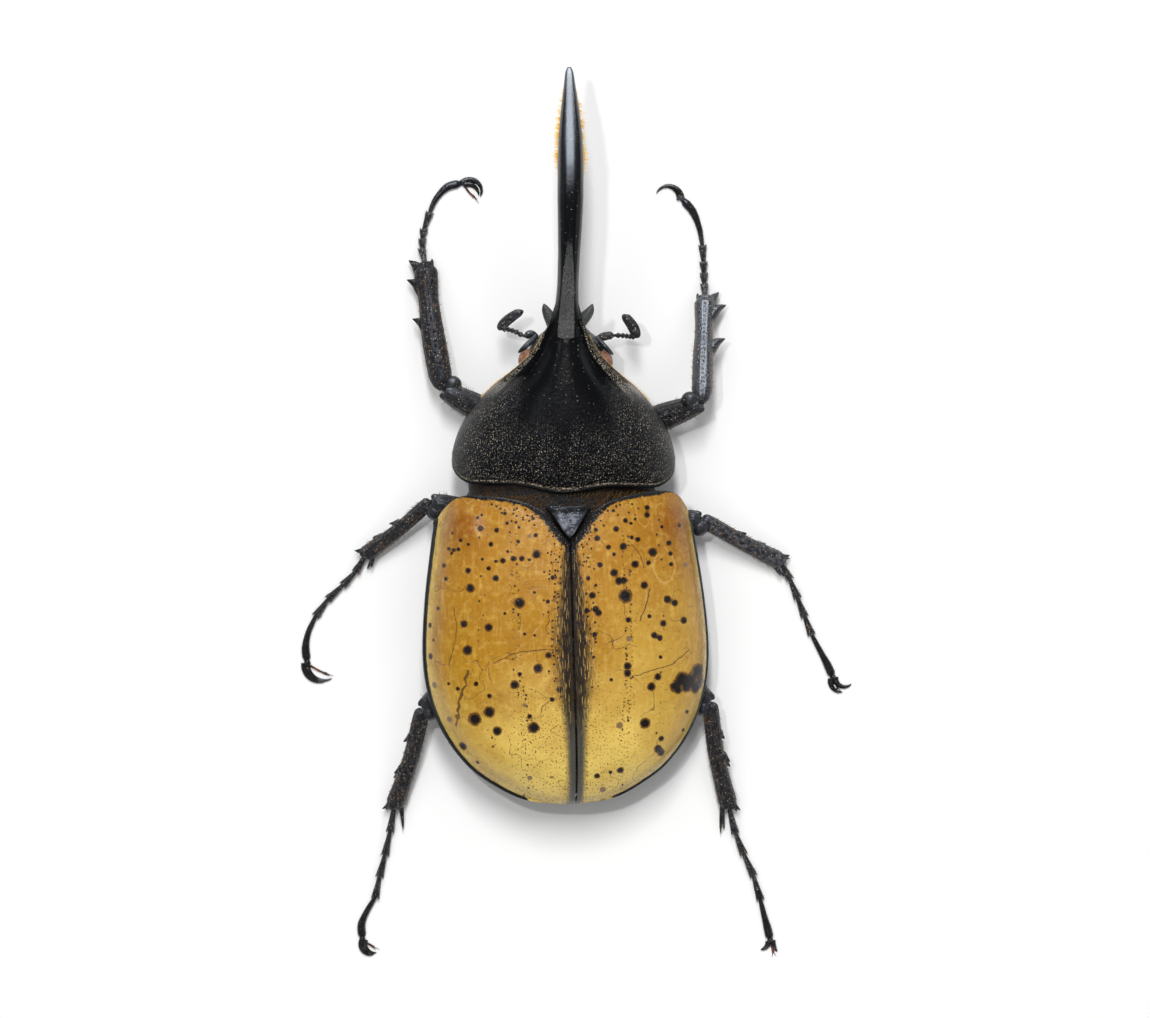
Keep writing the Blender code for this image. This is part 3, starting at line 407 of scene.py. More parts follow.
def follow(piece: Piece, path: Array, radius: float, smooth_at: Pair | None = None) -> None:
    """Stores, for the limb's finish, the distance down the limb, the direction round it and how coarse it is.

    Args:
        piece: the limb.
        path: points on its middle, in millimetres.
        radius: its usual radius.
        smooth_at: shares of the length between which the shell turns smooth, if it does.
    """
    points = coordinates(piece)
    middle = smooth_path(path, np.linspace(0, 1, 80))
    heading = unit(np.gradient(middle, axis=0))
    steps = np.append(0, np.cumsum(np.linalg.norm(np.diff(middle, axis=0), axis=1)))
    nearest = np.linalg.norm(points[:, None] - middle[None], axis=2).argmin(1)
    off = points - middle[nearest]
    ahead = (off * heading[nearest]).sum(1)
    side = unit(np.cross(heading[nearest], (0.0, 0.0, 1.0)))
    up = np.cross(side, heading[nearest])
    across, rise = (off * side).sum(1), (off * up).sum(1)
    away = np.maximum(np.hypot(across, rise), 0.05)
    down = steps[nearest] + ahead
    coarse = 1 - 0.85 * band(down / steps[-1], *smooth_at) if smooth_at else np.ones(len(points))
    paint(piece, way=np.stack([down, across / away * radius, rise / away * radius], 1), coarse=coarse)


def settle(piece: Piece, slot: Slot, material: Material, *nodes: str) -> Piece:
    """Gives a finished piece its material, its body and the nodes that it stands for."""
    piece.data.materials.clear()
    piece.data.materials.append(material)
    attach(piece, BODY)
    if nodes:
        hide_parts(*nodes)
    log.info("%s: %d faces", piece.name, len(piece.data.polygons))
    return piece


# ---- Node trees


def calc(tree: Tree, operation: str, *values: Number) -> "Field":
    """Adds a math node to a tree, with its numbers and fields in order, and gives its result."""
    node = tree.nodes.new("ShaderNodeMath")
    node.operation = operation
    for socket, value in zip(node.inputs, values):
        feed(tree, value, socket)
    return Field(tree, node.outputs[0])


def feed(tree: Tree, value: Any, socket: bpy.types.NodeSocket) -> None:
    """Links a field to a socket, or sets a plain value on it."""
    if isinstance(value, Field):
        tree.links.new(value.socket, socket)
    else:
        socket.default_value = value


class Field:
    """A socket of a node tree, with everyday arithmetic."""

    def __init__(self, tree: Tree, socket: bpy.types.NodeSocket) -> None:
        """Holds the tree and the socket."""
        self.tree = tree
        self.socket = socket

    def __add__(self, other: Number) -> "Field":
        """Sum."""
        return calc(self.tree, "ADD", self, other)

    def __sub__(self, other: Number) -> "Field":
        """Difference."""
        return calc(self.tree, "SUBTRACT", self, other)

    def __rsub__(self, other: float) -> "Field":
        """Difference from a plain number."""
        return calc(self.tree, "SUBTRACT", other, self)

    def __mul__(self, other: Number) -> "Field":
        """Product."""
        return calc(self.tree, "MULTIPLY", self, other)

    def __truediv__(self, other: Number) -> "Field":
        """Quotient."""
        return calc(self.tree, "DIVIDE", self, other)

    def __pow__(self, other: Number) -> "Field":
        """Power."""
        return calc(self.tree, "POWER", self, other)

    def least(self, other: Number) -> "Field":
        """The smaller of two."""
        return calc(self.tree, "MINIMUM", self, other)

    def most(self, other: Number) -> "Field":
        """The larger of two."""
        return calc(self.tree, "MAXIMUM", self, other)

    def of(self, operation: str) -> "Field":
        """A function of this field, such as its sine."""
        return calc(self.tree, operation, self)

    def step(self, low: float, high: float, start: float = 0.0, end: float = 1.0) -> "Field":
        """A smooth step from start, where this field is low, to end, where it is high."""
        node = self.tree.nodes.new("ShaderNodeMapRange")
        node.interpolation_type = "SMOOTHSTEP"
        for socket, value in zip(node.inputs, (self, low, high, start, end)):
            feed(self.tree, value, socket)
        return Field(self.tree, node.outputs[0])

    def hairline(self, outer: float, inner: float = 0.001) -> "Field":
        """A thin line where this field crosses 0, fading out from inner to outer."""
        return self.of("ABSOLUTE").step(outer, inner)


class Graph:
    """A node tree in the making."""

    def __init__(self, tree: Tree) -> None:
        """Holds the tree."""
        self.tree = tree

    def node(self, kind: str, settings: dict[str, Any] | None = None, **inputs: Any) -> bpy.types.Node:
        """Adds a node, with its settings, and its inputs named with _ for a space."""
        node = self.tree.nodes.new(kind)
        for name, value in (settings or {}).items():
            setattr(node, name, value)
        for name, value in inputs.items():
            feed(self.tree, value, node.inputs[name.replace("_", " ")])
        return node

    def out(self, node: bpy.types.Node, name: str | int = 0) -> Field:
        """An output of a node as a field."""
        return Field(self.tree, node.outputs[name])

    def vector(self, x: Number, y: Number, z: Number = 0.0) -> Field:
        """A vector of three numbers."""
        return self.out(self.node("ShaderNodeCombineXYZ", X=x, Y=y, Z=z))

    def split(self, vector: Field) -> list[Field]:
        """The three parts of a vector."""
        node = self.node("ShaderNodeSeparateXYZ", Vector=vector)
        return [self.out(node, k) for k in range(3)]


class Paint(Graph):
    """One procedural material in the making."""

    def __init__(self, name: str) -> None:
        """Starts a material on object coordinates."""
        self.material = bpy.data.materials.new(name)
        self.material.use_nodes = True
        super().__init__(self.material.node_tree)
        self.shader = self.tree.nodes["Principled BSDF"]
        self.place = self.out(self.node("ShaderNodeTexCoord"), "Object")
        self.normal: Field | None = None

    def attribute(self, name: str, output: str = "Fac") -> Field:
        """A number that the mesh stores under a name, or a vector where output says so."""
        return self.out(self.node("ShaderNodeAttribute", {"attribute_name": name}), output)

    def grazing(self) -> Field:
        """How edge-on the surface is seen, from 0 to 1."""
        return self.out(self.node("ShaderNodeLayerWeight"), "Facing")

    def length(self, vector: Field) -> Field:
        """The length of a vector."""
        return self.out(self.node("ShaderNodeVectorMath", {"operation": "LENGTH"}, Vector=vector), "Value")

    def stretched(self, by: Place) -> Field:
        """The object coordinates, scaled by a factor along each axis."""
        return self.out(self.node("ShaderNodeMapping", Vector=self.place, Scale=by))

    def noise(self, size: float, detail: float = 2.0, place: Field | None = None) -> Field:
        """Cloudy noise whose patches are about size millimetres across."""
        place = place or self.place
        return self.out(self.node("ShaderNodeTexNoise", Vector=place, Scale=1 / MM / size, Detail=detail))

    def stirred(self, place: Field, size: float, amount: float) -> Field:
        """A place in millimetres, pushed about by noise."""
        noise = self.node("ShaderNodeTexNoise", Vector=place, Scale=1 / size)
        node = self.node("ShaderNodeVectorMath", {"operation": "MULTIPLY_ADD"}, Vector=self.out(noise, "Color"))
        node.inputs[1].default_value = (amount, amount, amount)
        feed(self.tree, place, node.inputs[2])
        return self.out(node)

    def cells(
        self, size: float, place: Field | None = None, flat: bool = False, feature: str = "F1"
    ) -> tuple[Field, Field]:
        """Scattered cells about size millimetres apart, on object coordinates or on a place in millimetres.

        Returns:
            The distance to the nearest middle, in cells, or to the nearest border, and a random number for each cell.
        """
        settings = {"voronoi_dimensions": "2D" if flat else "3D", "feature": feature}
        scale = 1.0 if place else 1 / MM
        node = self.node("ShaderNodeTexVoronoi", settings, Vector=place or self.place, Scale=scale / size)
        distance = self.out(node, "Distance")
        if feature == "DISTANCE_TO_EDGE":
            return distance, distance
        return distance, self.out(self.node("ShaderNodeSeparateColor", Color=self.out(node, "Color")))

    def mix(self, share: Number, low: Any, high: Any) -> Field:
        """A colour between two."""
        node = self.node("ShaderNodeMix", {"data_type": "RGBA"})
        for socket, value in zip((0, 6, 7), (share, low, high)):
            feed(self.tree, value, node.inputs[socket])
        return self.out(node, 2)

    def coats(self, colour: Any, *coats: tuple[Number, Any]) -> Field:
        """A colour with others laid over it in turn, each by its share."""
        for share, coat in coats:
            colour = self.mix(share, colour, coat)
        return colour

    def relief(self, height: Field, depth: float, strength: Number = 1.0) -> None:
        """Raises the surface by a field, times a depth in millimetres, over any relief before it."""
        node = self.node("ShaderNodeBump", Strength=strength, Distance=depth * MM, Height=height)
        if self.normal:
            feed(self.tree, self.normal, node.inputs["Normal"])
        self.normal = self.out(node)

    def done(self, colour: Field, roughness: Number, **inputs: Any) -> Material:
        """Sets the shader's inputs, the others named with _ for a space, and gives the material."""
        for name, value in {"Base_Color": colour, "Roughness": roughness, **inputs}.items():
            feed(self.tree, value, self.shader.inputs[name.replace("_", " ")])
        if self.normal:
            feed(self.tree, self.normal, self.shader.inputs["Normal"])
        return self.material


class Builder(Graph):
    """A geometry tree in the making, with named sizes as its inputs."""

    def __init__(self, name: str) -> None:
        """Starts a tree that takes geometry and gives geometry."""
        super().__init__(bpy.data.node_groups.new(name, "GeometryNodeTree"))
        self.tree.is_modifier = True
        for way in ("INPUT", "OUTPUT"):
            self.tree.interface.new_socket("Geometry", in_out=way, socket_type="NodeSocketGeometry")
        self.group, self.result = self.node("NodeGroupInput"), self.node("NodeGroupOutput")

    def sizes(self, **values: float) -> list[Field]:
        """Named numbers that the modifier can set, with _ for a space."""
        names = [name.replace("_", " ") for name in values]
        for name, value in zip(names, values.values()):
            socket = self.tree.interface.new_socket(name, in_out="INPUT", socket_type="NodeSocketFloat")
            socket.default_value = value
        return [self.out(self.group, name) for name in names]

    def join(self, *vectors: Field) -> Field:
        """The sum of vectors."""
        total = vectors[0]
        for vector in vectors[1:]:
            node = self.node("ShaderNodeVectorMath", Vector=total)
            feed(self.tree, vector, node.inputs[1])
            total = self.out(node)
        return total

    def scaled(self, vector: Field, by: Number) -> Field:
        """A vector times a number."""
        return self.out(self.node("ShaderNodeVectorMath", {"operation": "SCALE"}, Vector=vector, Scale=by))

    def stored(self, name: str, kind: str = "FLOAT") -> Field:
        """An attribute of the geometry by its name."""
        return self.out(self.node("GeometryNodeInputNamedAttribute", {"data_type": kind}, Name=name))

    def store(self, mesh: Field, name: str, value: Field, kind: str = "FLOAT", where: str = "POINT") -> Field:
        """The geometry with a value stored on it."""
        settings = {"data_type": kind, "domain": where}
        return self.out(self.node("GeometryNodeStoreNamedAttribute", settings, Geometry=mesh, Name=name, Value=value))

    def finish(self, mesh: Field, material: Material) -> Tree:
        """Ends the tree by realising instances and setting the material."""
        real = self.node("GeometryNodeRealizeInstances", Geometry=mesh)
        dressed = self.node("GeometryNodeSetMaterial", Geometry=self.out(real), Material=material)
        self.tree.links.new(dressed.outputs[0], self.result.inputs[0])
        return self.tree


def run_tree(piece: Piece, tree: Tree, sizes: dict[str, float]) -> Piece:
    """Runs a geometry tree on a piece with named sizes, and keeps the result as its plain mesh."""
    modifier = piece.modifiers.new(tree.name, "NODES")
    modifier.node_group = tree
    for item in tree.interface.items_tree:
        if item.in_out == "INPUT" and item.name in sizes:
            modifier[item.identifier] = sizes[item.name]
    return bake(piece)


# ---- Finishes


@dataclass(frozen=True)
class ShellFinish:
    """Black horn-like shell: glossy where smooth, pitted and dusty where the attribute grain says so, with a grey coat
    that is partly dust and partly painted sheen, and painted glints.
    """

    name: str
    colour: Colour = (0.0030, 0.0032, 0.0038, 1.0)
    # Grey of a coat that is partly dust and partly painted sheen.
    veil_colour: Colour = srgb(62, 63, 63)
    dust_colour: Colour = srgb(200, 184, 156)
    glint_colour: Colour = srgb(116, 116, 120)
    crust_colour: Colour = srgb(206, 196, 176)
    pit: float = 0.37
    pit_depth: float = 0.12
    smooth: float = 0.12
    rough: float = 0.45

    def material(self) -> Material:
        """The finish as a material."""
        paint = Paint(self.name)
        grain, veil, seam, crust, satin = map(paint.attribute, ("grain", "veil", "seam", "crust", "satin"))
        worm = paint.stirred(paint.attribute("sheet", "Vector"), 0.22, 0.3)
        distance, chance = paint.cells(self.pit, worm, True)
        fine, fine_chance = paint.cells(self.pit * 0.6, worm, True)
        patches = paint.noise(2.8, 3.0)
        thick = patches.step(0.3, 0.65, 0.45, 1.0)
        scant = (1.0 - grain) * 0.14
        speck = (distance + scant).step(0.23, 0.12) * chance.step(0.2, 0.85) * thick
        # Fine grey flecks: painted glints of the granules.
        fleck = (fine + scant).step(0.27, 0.15) * fine_chance.step(0.25, 0.8) * thick
        crumb, crumb_chance = paint.cells(0.2, worm, True)
        crumbs = crumb.step(0.45, 0.2) * crumb_chance.step(0.2, 0.6) * patches.step(0.25, 0.5, 0.5, 1.0)
        lint, lint_chance = paint.cells(0.8, worm, True)
        colour = paint.coats(
            self.colour,
            # Grey coat: partly dust, partly painted sheen.
            (veil * patches.step(0.25, 0.7, 0.3, 1.0), self.veil_colour),
            (fleck * grain.step(0.05, 0.7) * 0.9, self.glint_colour),
            (speck * grain.step(0.1, 1.0, 0.1, 0.95), self.dust_colour),
            # seam: the tan dust line of the hind margin, with a painted highlight line along the crests.
            (seam * paint.noise(0.22, 2.0).step(0.45, 0.6) * 0.75, self.dust_colour),
            (crumbs * crust, self.crust_colour),
            (lint.step(0.09, 0.03) * lint_chance.step(0.6, 1.0) * 0.4, self.crust_colour),
        )
        cloud = paint.noise(5.0, 4.0).step(0.35, 0.75) * 0.05
        roughness = (grain * (self.rough - self.smooth) + self.smooth + cloud + satin * 0.1).least(1.0)
        paint.relief(distance.step(0.0, 0.4), self.pit_depth, grain)
        paint.relief(fine.step(0.0, 0.3), self.pit_depth * 0.4, grain * 0.7)
        paint.relief(crumb.step(0.0, 0.4), 0.08, crust)
        paint.relief(paint.noise(0.5, 4.0), 0.01)
        shine = satin * 0.8 + grain * -0.3 + 0.5
        return paint.done(colour, roughness, Specular_IOR_Level=shine)


@dataclass(frozen=True)
class AmberFinish:
    """The wing cases: amber shell with dark spots, punctures, hairline cracks and black borders.

    The mesh stores edge, the distance from the side in millimetres; rim, the distance from the front edge over the
    breadth of its border; and seam, the distance from the suture over the half-width of its dark band.
    """

    name: str = "spotted amber shell"
    front: Colour = srgb(158, 111, 32)
    middle: Colour = srgb(157, 113, 24)
    rear: Colour = srgb(216, 187, 98)
    # Pale amber of the sides, used partly as painted sheen.
    flank: Colour = srgb(230, 198, 106)
    shoulder: Colour = srgb(128, 74, 18)
    spot_core: Colour = srgb(26, 22, 21)
    spot_halo: Colour = srgb(80, 50, 22)
    pale_spot: Colour = srgb(128, 104, 74)
    black: Colour = srgb(24, 24, 25)
    slate: Colour = srgb(66, 69, 70)
    dust: Colour = srgb(206, 168, 104)
    shine: float = 0.35

    def ground(self, paint: Paint) -> Field:
        """The amber: paler behind, paler at the sides partly in its own colour and partly as painted sheen, mottled and
        finely streaked.
        """
        along, shoulder, flank = map(paint.attribute, ("reach", "shoulder", "flank"))
        out, _, _ = paint.split(paint.attribute("sheet", "Vector"))
        pale = (along + (paint.noise(6.0, 4.0) - 0.5) * 0.7).step(0.0, -0.8)
        streak = paint.noise(0.5, 4.0, paint.stretched((1.0, 0.1, 1.0)))
        return paint.coats(
            self.middle,
            (along.step(-0.1, 0.6), self.front),
            (pale * out.of("ABSOLUTE").step(16.0, 5.0, 0.55, 1.0), self.rear),
            # Paler towards the sides: partly the shell's colour, partly painted sheen.
            (out.step(2.0, 10.0) * along.step(0.6, 0.1) * 0.2, self.flank),
            (flank * paint.noise(3.0, 2.0).step(0.3, 0.6, 0.5, 1.0), self.flank),
            (shoulder * 0.8, self.shoulder),
            (paint.noise(5.0, 3.0).step(0.4, 0.7) * 0.22, self.shoulder),
            (paint.noise(0.9, 5.0).step(0.45, 0.75) * 0.2, self.flank),
            (streak.step(0.5, 0.75) * (flank * 0.3 + 0.15), self.flank),
            (paint.noise(0.3, 4.0).step(0.5, 0.75) * 0.3, self.shoulder),
        )

    def material(self) -> Material:
        """The finish as a material."""
        paint = Paint(self.name)
        sheet = paint.attribute("sheet", "Vector")
        out, back, _ = paint.split(sheet)
        along, seam, rim, edge, pale = map(paint.attribute, ("reach", "seam", "rim", "edge", "pale"))

        pits, chance = paint.cells(0.5, sheet, True)
        girth = (paint.noise(1.1, 2.0) - 0.5) * 0.25
        pit = (pits + girth).step(0.2, 0.1) * (chance - 1.0 + paint.attribute("pitting")).step(0.0, 0.08)
        holes, hole_chance = paint.cells(0.85, sheet, True)
        hole = (holes + girth * 0.5).step(0.24, 0.15) * (hole_chance - 1.0 + paint.attribute("punched")).step(0.0, 0.05)
        stray = paint.noise(0.7, 1.0) - 0.5
        dots = (paint.attribute("row") + stray * 0.5).step(0.19, 0.09) * paint.noise(1.3, 2.0).step(0.42, 0.56)
        dots = dots * (back * 10.0 + out * 4.0 + stray * 9.0).of("COSINE").step(0.1, 0.7)

        scratched = paint.attribute("scratched")
        line = (paint.attribute("scratch") + (paint.noise(1.6, 4.0) - 0.5) * 0.7).hairline(0.1, 0.04)
        pale_line, line = line * scratched.step(0.0, -0.5), line * scratched.step(0.0, 0.5)
        wander = (paint.noise(8.0, 2.0) - 0.5).hairline(0.0028) * paint.noise(4.0, 1.0).step(0.5, 0.54)
        weave = (paint.noise(5.0, 2.5, paint.stretched((0.5, 1.4, 1.0))) - 0.5).hairline(0.004)
        weave = weave * paint.noise(3.0, 1.0).step(0.46, 0.55)
        bright = (paint.noise(9.0, 1.0, paint.stretched((1.6, 0.6, 1.0))) - 0.5).hairline(0.003)

        spot = paint.length(paint.attribute("spot_way", "Vector")).most(paint.attribute("spot") * 0.8)
        ragged = spot + (paint.noise(0.55, 3.0) - 0.5) * 0.55

        loose = (paint.noise(0.3, 5.0, paint.stretched((1.0, 0.35, 1.0))) - 0.5) * along.step(-0.75, 0.1, 0.3, 1.1)
        dark = (seam + loose).step(1.4, 0.45)
        u, v, _ = paint.split(paint.stirred(sheet, 0.6, 0.12))
        strands, strand_chance = paint.cells(0.17, paint.vector(u, v * 0.09), True)
        fleck = strands.step(0.4, 0.2) * strand_chance.step(0.4, 0.85) * along.step(-0.6, -0.3)
        worn = along.step(-0.3, -0.65) * 0.8
        band_colour = paint.coats(self.black, (worn, self.slate), (fleck * 0.8 * seam.step(0.1, 0.3), self.dust))

        crumbs, crumb_chance = paint.cells(0.3)
        front = (rim + (paint.noise(0.5, 3.0) - 0.5) * 1.3).step(1.15, 0.75)
        grit = crumbs.step(0.28, 0.14) * crumb_chance.step(0.45, 0.7)
        side = (edge + (paint.noise(0.8, 3.0) - 0.5) * 0.8).step(1.75, 1.45)
        colour = paint.coats(
            self.ground(paint),
            (holes.step(0.5, 0.25) * hole.step(0.0, 0.1) * 0.3, self.shoulder),
            (pit * 0.85, self.spot_halo),
            (hole * 0.9, self.spot_core),
            (dots * 0.8, self.spot_halo),
            ((bright * 0.35).most(pale_line * 0.45), self.dust),
            (line.most(wander * 0.8).most(weave * 0.35) * 0.85, self.spot_halo),
            (ragged.step(1.2, 0.92) * 0.9, paint.mix(pale, self.spot_halo, self.pale_spot)),
            (ragged.step(0.86, 0.62) * (1.0 - pale * 0.75), self.spot_core),
            (dark * 0.96, band_colour),
            (front, paint.mix(grit * 0.7, self.black, self.dust)),
            (side, self.black),
        )

        gloss = paint.noise(1.6, 4.0).step(0.35, 0.7, 0.22, 0.4) + front.most(side) * 0.06
        paint.relief(1.0 - dots, 0.05)
        paint.relief(pits.step(0.0, 0.3), 0.05, pit)
        paint.relief(holes.step(0.0, 0.3), 0.14, hole)
        paint.relief(1.0 - line.most(wander).most(weave * 0.4), 0.04)
        paint.relief(crumbs.step(0.0, 0.4), 0.12, front.most(rim.step(3.5, 1.0) * 0.5))
        paint.relief(paint.noise(0.7, 2.0), 0.12, rim.step(6.0, 2.0) * 0.8)
        paint.relief(strands.step(0.0, 0.4), 0.07, dark * along.step(-0.62, -0.35))
        paint.relief(paint.noise(1.5, 5.0), 0.045)
        paint.relief(paint.noise(0.35, 3.0), 0.015)
        shine = paint.grazing().step(0.35, 0.75, self.shine, 0.04)
        return paint.done(colour, gloss, Specular_IOR_Level=shine)


@dataclass(frozen=True)
class LegFinish:
    """Leg shell: brown-black, with rows of punctures along the limb, a dusting of rust and bluish-grey patches that are
    partly wear and partly painted sheen.
    """

    name: str
    colour: Colour = (0.0066, 0.0066, 0.0070, 1.0)
    rust: Colour = srgb(74, 52, 42)
    dust: Colour = srgb(158, 144, 124)
    rows: float = 10.0
    # Bluish grey that is partly wear and partly painted sheen.
    worn_colour: Colour = srgb(112, 114, 124)
    roughness: float = 0.33
    worn: float = 0.12
    bare: float = 0.0
    polish: float = 0.0
    shine: float = 0.5

    def material(self) -> Material:
        """The finish as a material."""
        paint = Paint(self.name)
        way, coarse = paint.attribute("way", "Vector"), paint.attribute("coarse")
        coarse = coarse * (1.0 - self.polish * 0.65)
        down, across, rise = paint.split(way)
        pit, chance = paint.cells(0.45, paint.vector(down * 0.7, across, rise))
        groove = (calc(paint.tree, "ARCTAN2", rise, across) * self.rows).of("COSINE").step(-0.2, 0.95)
        patches = paint.noise(1.1, 3.0)
        rust = patches.step(0.5, 0.75) * coarse * 0.22
        # Bluish grey on the smooth ends, such as the knee's knob, and more of it where polished: a painted highlight.
        bare = (1.0 - coarse) * (self.bare + self.polish * 0.12)
        # Bluish-grey mottling: partly wear, and painted sheen where the share is larger, as on the right legs.
        worn = (paint.noise(0.5, 5.0).step(0.35, 0.7) * coarse * self.worn).most(bare)
        speck, speck_chance = paint.cells(0.3)
        dust = speck.step(0.34, 0.14) * speck_chance.step(0.5, 0.85) * coarse
        roughness = coarse * 0.16 + self.roughness - 0.15 + patches.step(0.3, 0.7) * 0.08
        punches = across.of("ABSOLUTE").step(0.2, 0.1) * (down * 9.0).of("COSINE").step(0.0, 0.5) * self.polish
        coats = ((worn, self.worn_colour), (rust, self.rust), (dust, self.dust), (punches, self.colour))
        colour = paint.coats(self.colour, *coats)
        paint.relief(1.0 - punches, 0.1)
        paint.relief(pit.step(0.05, 0.45), 0.18, coarse * chance.step(0.1, 0.4))
        paint.relief(1.0 - groove, 0.045, coarse)
        paint.relief(paint.noise(0.25, 4.0), 0.03)
        return paint.done(colour, roughness, Specular_IOR_Level=self.shine)


@dataclass(frozen=True)
class PlateFinish:
    """Rough dark shell of the under side, the scutellum and the head, with coarse pits."""

    name: str
    colour: Colour = (0.008, 0.0078, 0.0082, 1.0)
    # Paler patches: wear, and on the scutellum partly painted sheen.
    worn: Colour = srgb(86, 88, 96)
    pit: float = 0.5
    depth: float = 0.12
    roughness: float = 0.26
    shine: float = 0.5

    def material(self) -> Material:
        """The finish as a material."""
        paint = Paint(self.name)
        distance, chance = paint.cells(self.pit)
        patches = paint.noise(1.8, 4.0)
        colour = paint.coats(
            self.colour,
            # Paler patches: wear, and on the scutellum partly painted sheen.
            (patches.step(0.45, 0.7) * 0.5, self.worn),
            (distance.step(0.3, 0.08) * chance.step(0.3, 0.8) * 0.5, srgb(122, 104, 80)),
            (paint.attribute("shade"), srgb(14, 13, 13)),
        )
        roughness = patches.step(0.3, 0.7, self.roughness, self.roughness + 0.16)
        paint.relief(distance.step(0.0, 0.45), self.depth)
        paint.relief(paint.noise(0.4, 4.0), 0.03)
        return paint.done(colour, roughness, Specular_IOR_Level=self.shine)


@dataclass(frozen=True)
class EyeFinish:
    """The compound eye: a dome of tiny lenses, reddish tan."""

    name: str = "faceted reddish eye"
    facet: float = 0.09

    def material(self) -> Material:
        """The finish as a material."""
        paint = Paint(self.name)
        edge, _ = paint.cells(self.facet, feature="DISTANCE_TO_EDGE")
        cloud = paint.noise(0.9, 3.0)
        colour = paint.mix(cloud.step(0.35, 0.7), srgb(122, 72, 50), srgb(180, 136, 104))
        colour = paint.mix(edge.step(0.12, 0.0) * 0.5, colour, srgb(66, 34, 22))
        paint.relief(edge.step(0.0, 0.3), 0.03)
        return paint.done(colour, 0.25, IOR=1.5)


@dataclass(frozen=True)
class HairFinish:
    """Hair and bristles: darker at the root, with a tint that differs from one to the next."""

    name: str
    root: Colour
    tip: Colour
    other: Colour
    roughness: float = 0.5

    def material(self) -> Material:
        """The finish as a material."""
        paint = Paint(self.name)
        colour = paint.mix(paint.attribute("strand").step(0.1, 0.9), self.root, self.tip)
        colour = paint.mix(paint.attribute("tint") * 0.6, colour, self.other)
        return paint.done(colour, self.roughness)


# ---- Hair


@dataclass(frozen=True)
class Hair:
    """A field of bristles on a carrier mesh, which stores lie (direction), grow (share of the density) and reach.

    Density is per square millimetre, and length and width are millimetres.
    """

    name: str
    finish: HairFinish
    seed: int
    density: float
    length: float
    width: float = 0.05
    spread: float = 0.35
    bend: float = 0.25

    def tree(self, material: Material) -> Tree:
        """The geometry tree that grows the bristles, in a material."""
        builder = Builder(self.name)
        density, length, width, spread, bend = builder.sizes(
            Density=self.density, Length=self.length, Width=self.width, Spread=self.spread, Bend=self.bend
        )

        carrier = builder.out(builder.group, "Geometry")
        share = builder.stored("grow") * density * (1 / MM**2)
        points = builder.node("GeometryNodeDistributePointsOnFaces", Mesh=carrier, Density=share, Seed=self.seed)
        tinted = builder.node("FunctionNodeRandomValue", {"data_type": "FLOAT"}, Seed=self.seed + 1)
        roots = builder.store(builder.out(points), "tint", builder.out(tinted, 1))

        cone_form = {"Vertices": 4, "Side_Segments": 3, "Radius_Top": 0.12, "Radius_Bottom": 1.0, "Depth": 1.0}
        cone = builder.node("GeometryNodeMeshCone", {"fill_type": "NONE"}, **cone_form)
        across, thick, height = builder.split(builder.out(builder.node("GeometryNodeInputPosition")))
        blade = builder.store(builder.out(cone), "strand", height)
        patch = builder.vector(across * 0.5 + 0.5, height)
        blade = builder.store(blade, "patch", patch, "FLOAT_VECTOR")
        lean = across * width * MM + height * height * bend * length * MM
        slim = builder.vector(lean, thick * width * MM, height * length * MM)
        blade = builder.out(builder.node("GeometryNodeSetPosition", Geometry=blade, Position=slim))

        stray = builder.node("FunctionNodeRandomValue", {"data_type": "FLOAT_VECTOR"}, Seed=self.seed + 2)
        stray.inputs[0].default_value = (-1, -1, -1)
        wild = builder.scaled(builder.out(stray), spread)
        heading = builder.join(builder.stored("lie", "FLOAT_VECTOR"), wild)
        turn = builder.node("FunctionNodeAlignRotationToVector", {"axis": "Z"}, Vector=heading)
        sized = builder.node("FunctionNodeRandomValue", {"data_type": "FLOAT"}, Seed=self.seed + 3)
        sized.inputs[2].default_value = 0.6
        sized.inputs[3].default_value = 1.15
        scale = builder.vector(1.0, 1.0, builder.out(sized, 1) * builder.stored("reach"))
        form = {"Points": roots, "Instance": blade, "Rotation": builder.out(turn), "Scale": scale}
        placed = builder.node("GeometryNodeInstanceOnPoints", **form)
        real = builder.out(builder.node("GeometryNodeRealizeInstances", Geometry=builder.out(placed)))
        corner = builder.scaled(builder.stored("patch", "FLOAT_VECTOR"), 0.003)
        spot = builder.join(builder.stored("skin", "FLOAT_VECTOR"), corner)
        mapped = builder.store(real, COAT_MAP, spot, "FLOAT2", "CORNER")
        return builder.finish(mapped, material)

    def grow(self, patches: "Sequence[Patch]", slot: Slot) -> Piece:
        """Grows the bristles on patches of bare ground and settles them as one piece."""
        shapes = [Shape.skin(patch.placing.world(patch.rows), closed=False) for patch in patches]
        piece = make_piece(self.name, shapes[0].and_(*shapes[1:]), Placing((0.0, 0.0, 0.0)))
        paint(piece, lie=np.concatenate([patch.lies() for patch in patches]))
        for word in ("grow", "reach"):
            paint(piece, **{word: np.concatenate([patch.shares(word) for patch in patches])})
        tiles = math.ceil(math.sqrt(len(patches)))
        places = [(patch.map() + (k % tiles, k // tiles)) / tiles for k, patch in enumerate(patches)]
        unwrap(piece, np.concatenate(places))
        material = self.finish.material()
        run_tree(piece, self.tree(material), {"Density": self.density})
        for word in ("lie", "grow", "reach", "patch", "skin"):
            layer = piece.data.attributes.get(word)
            if layer:
                piece.data.attributes.remove(layer)
        return settle(piece, slot, material)


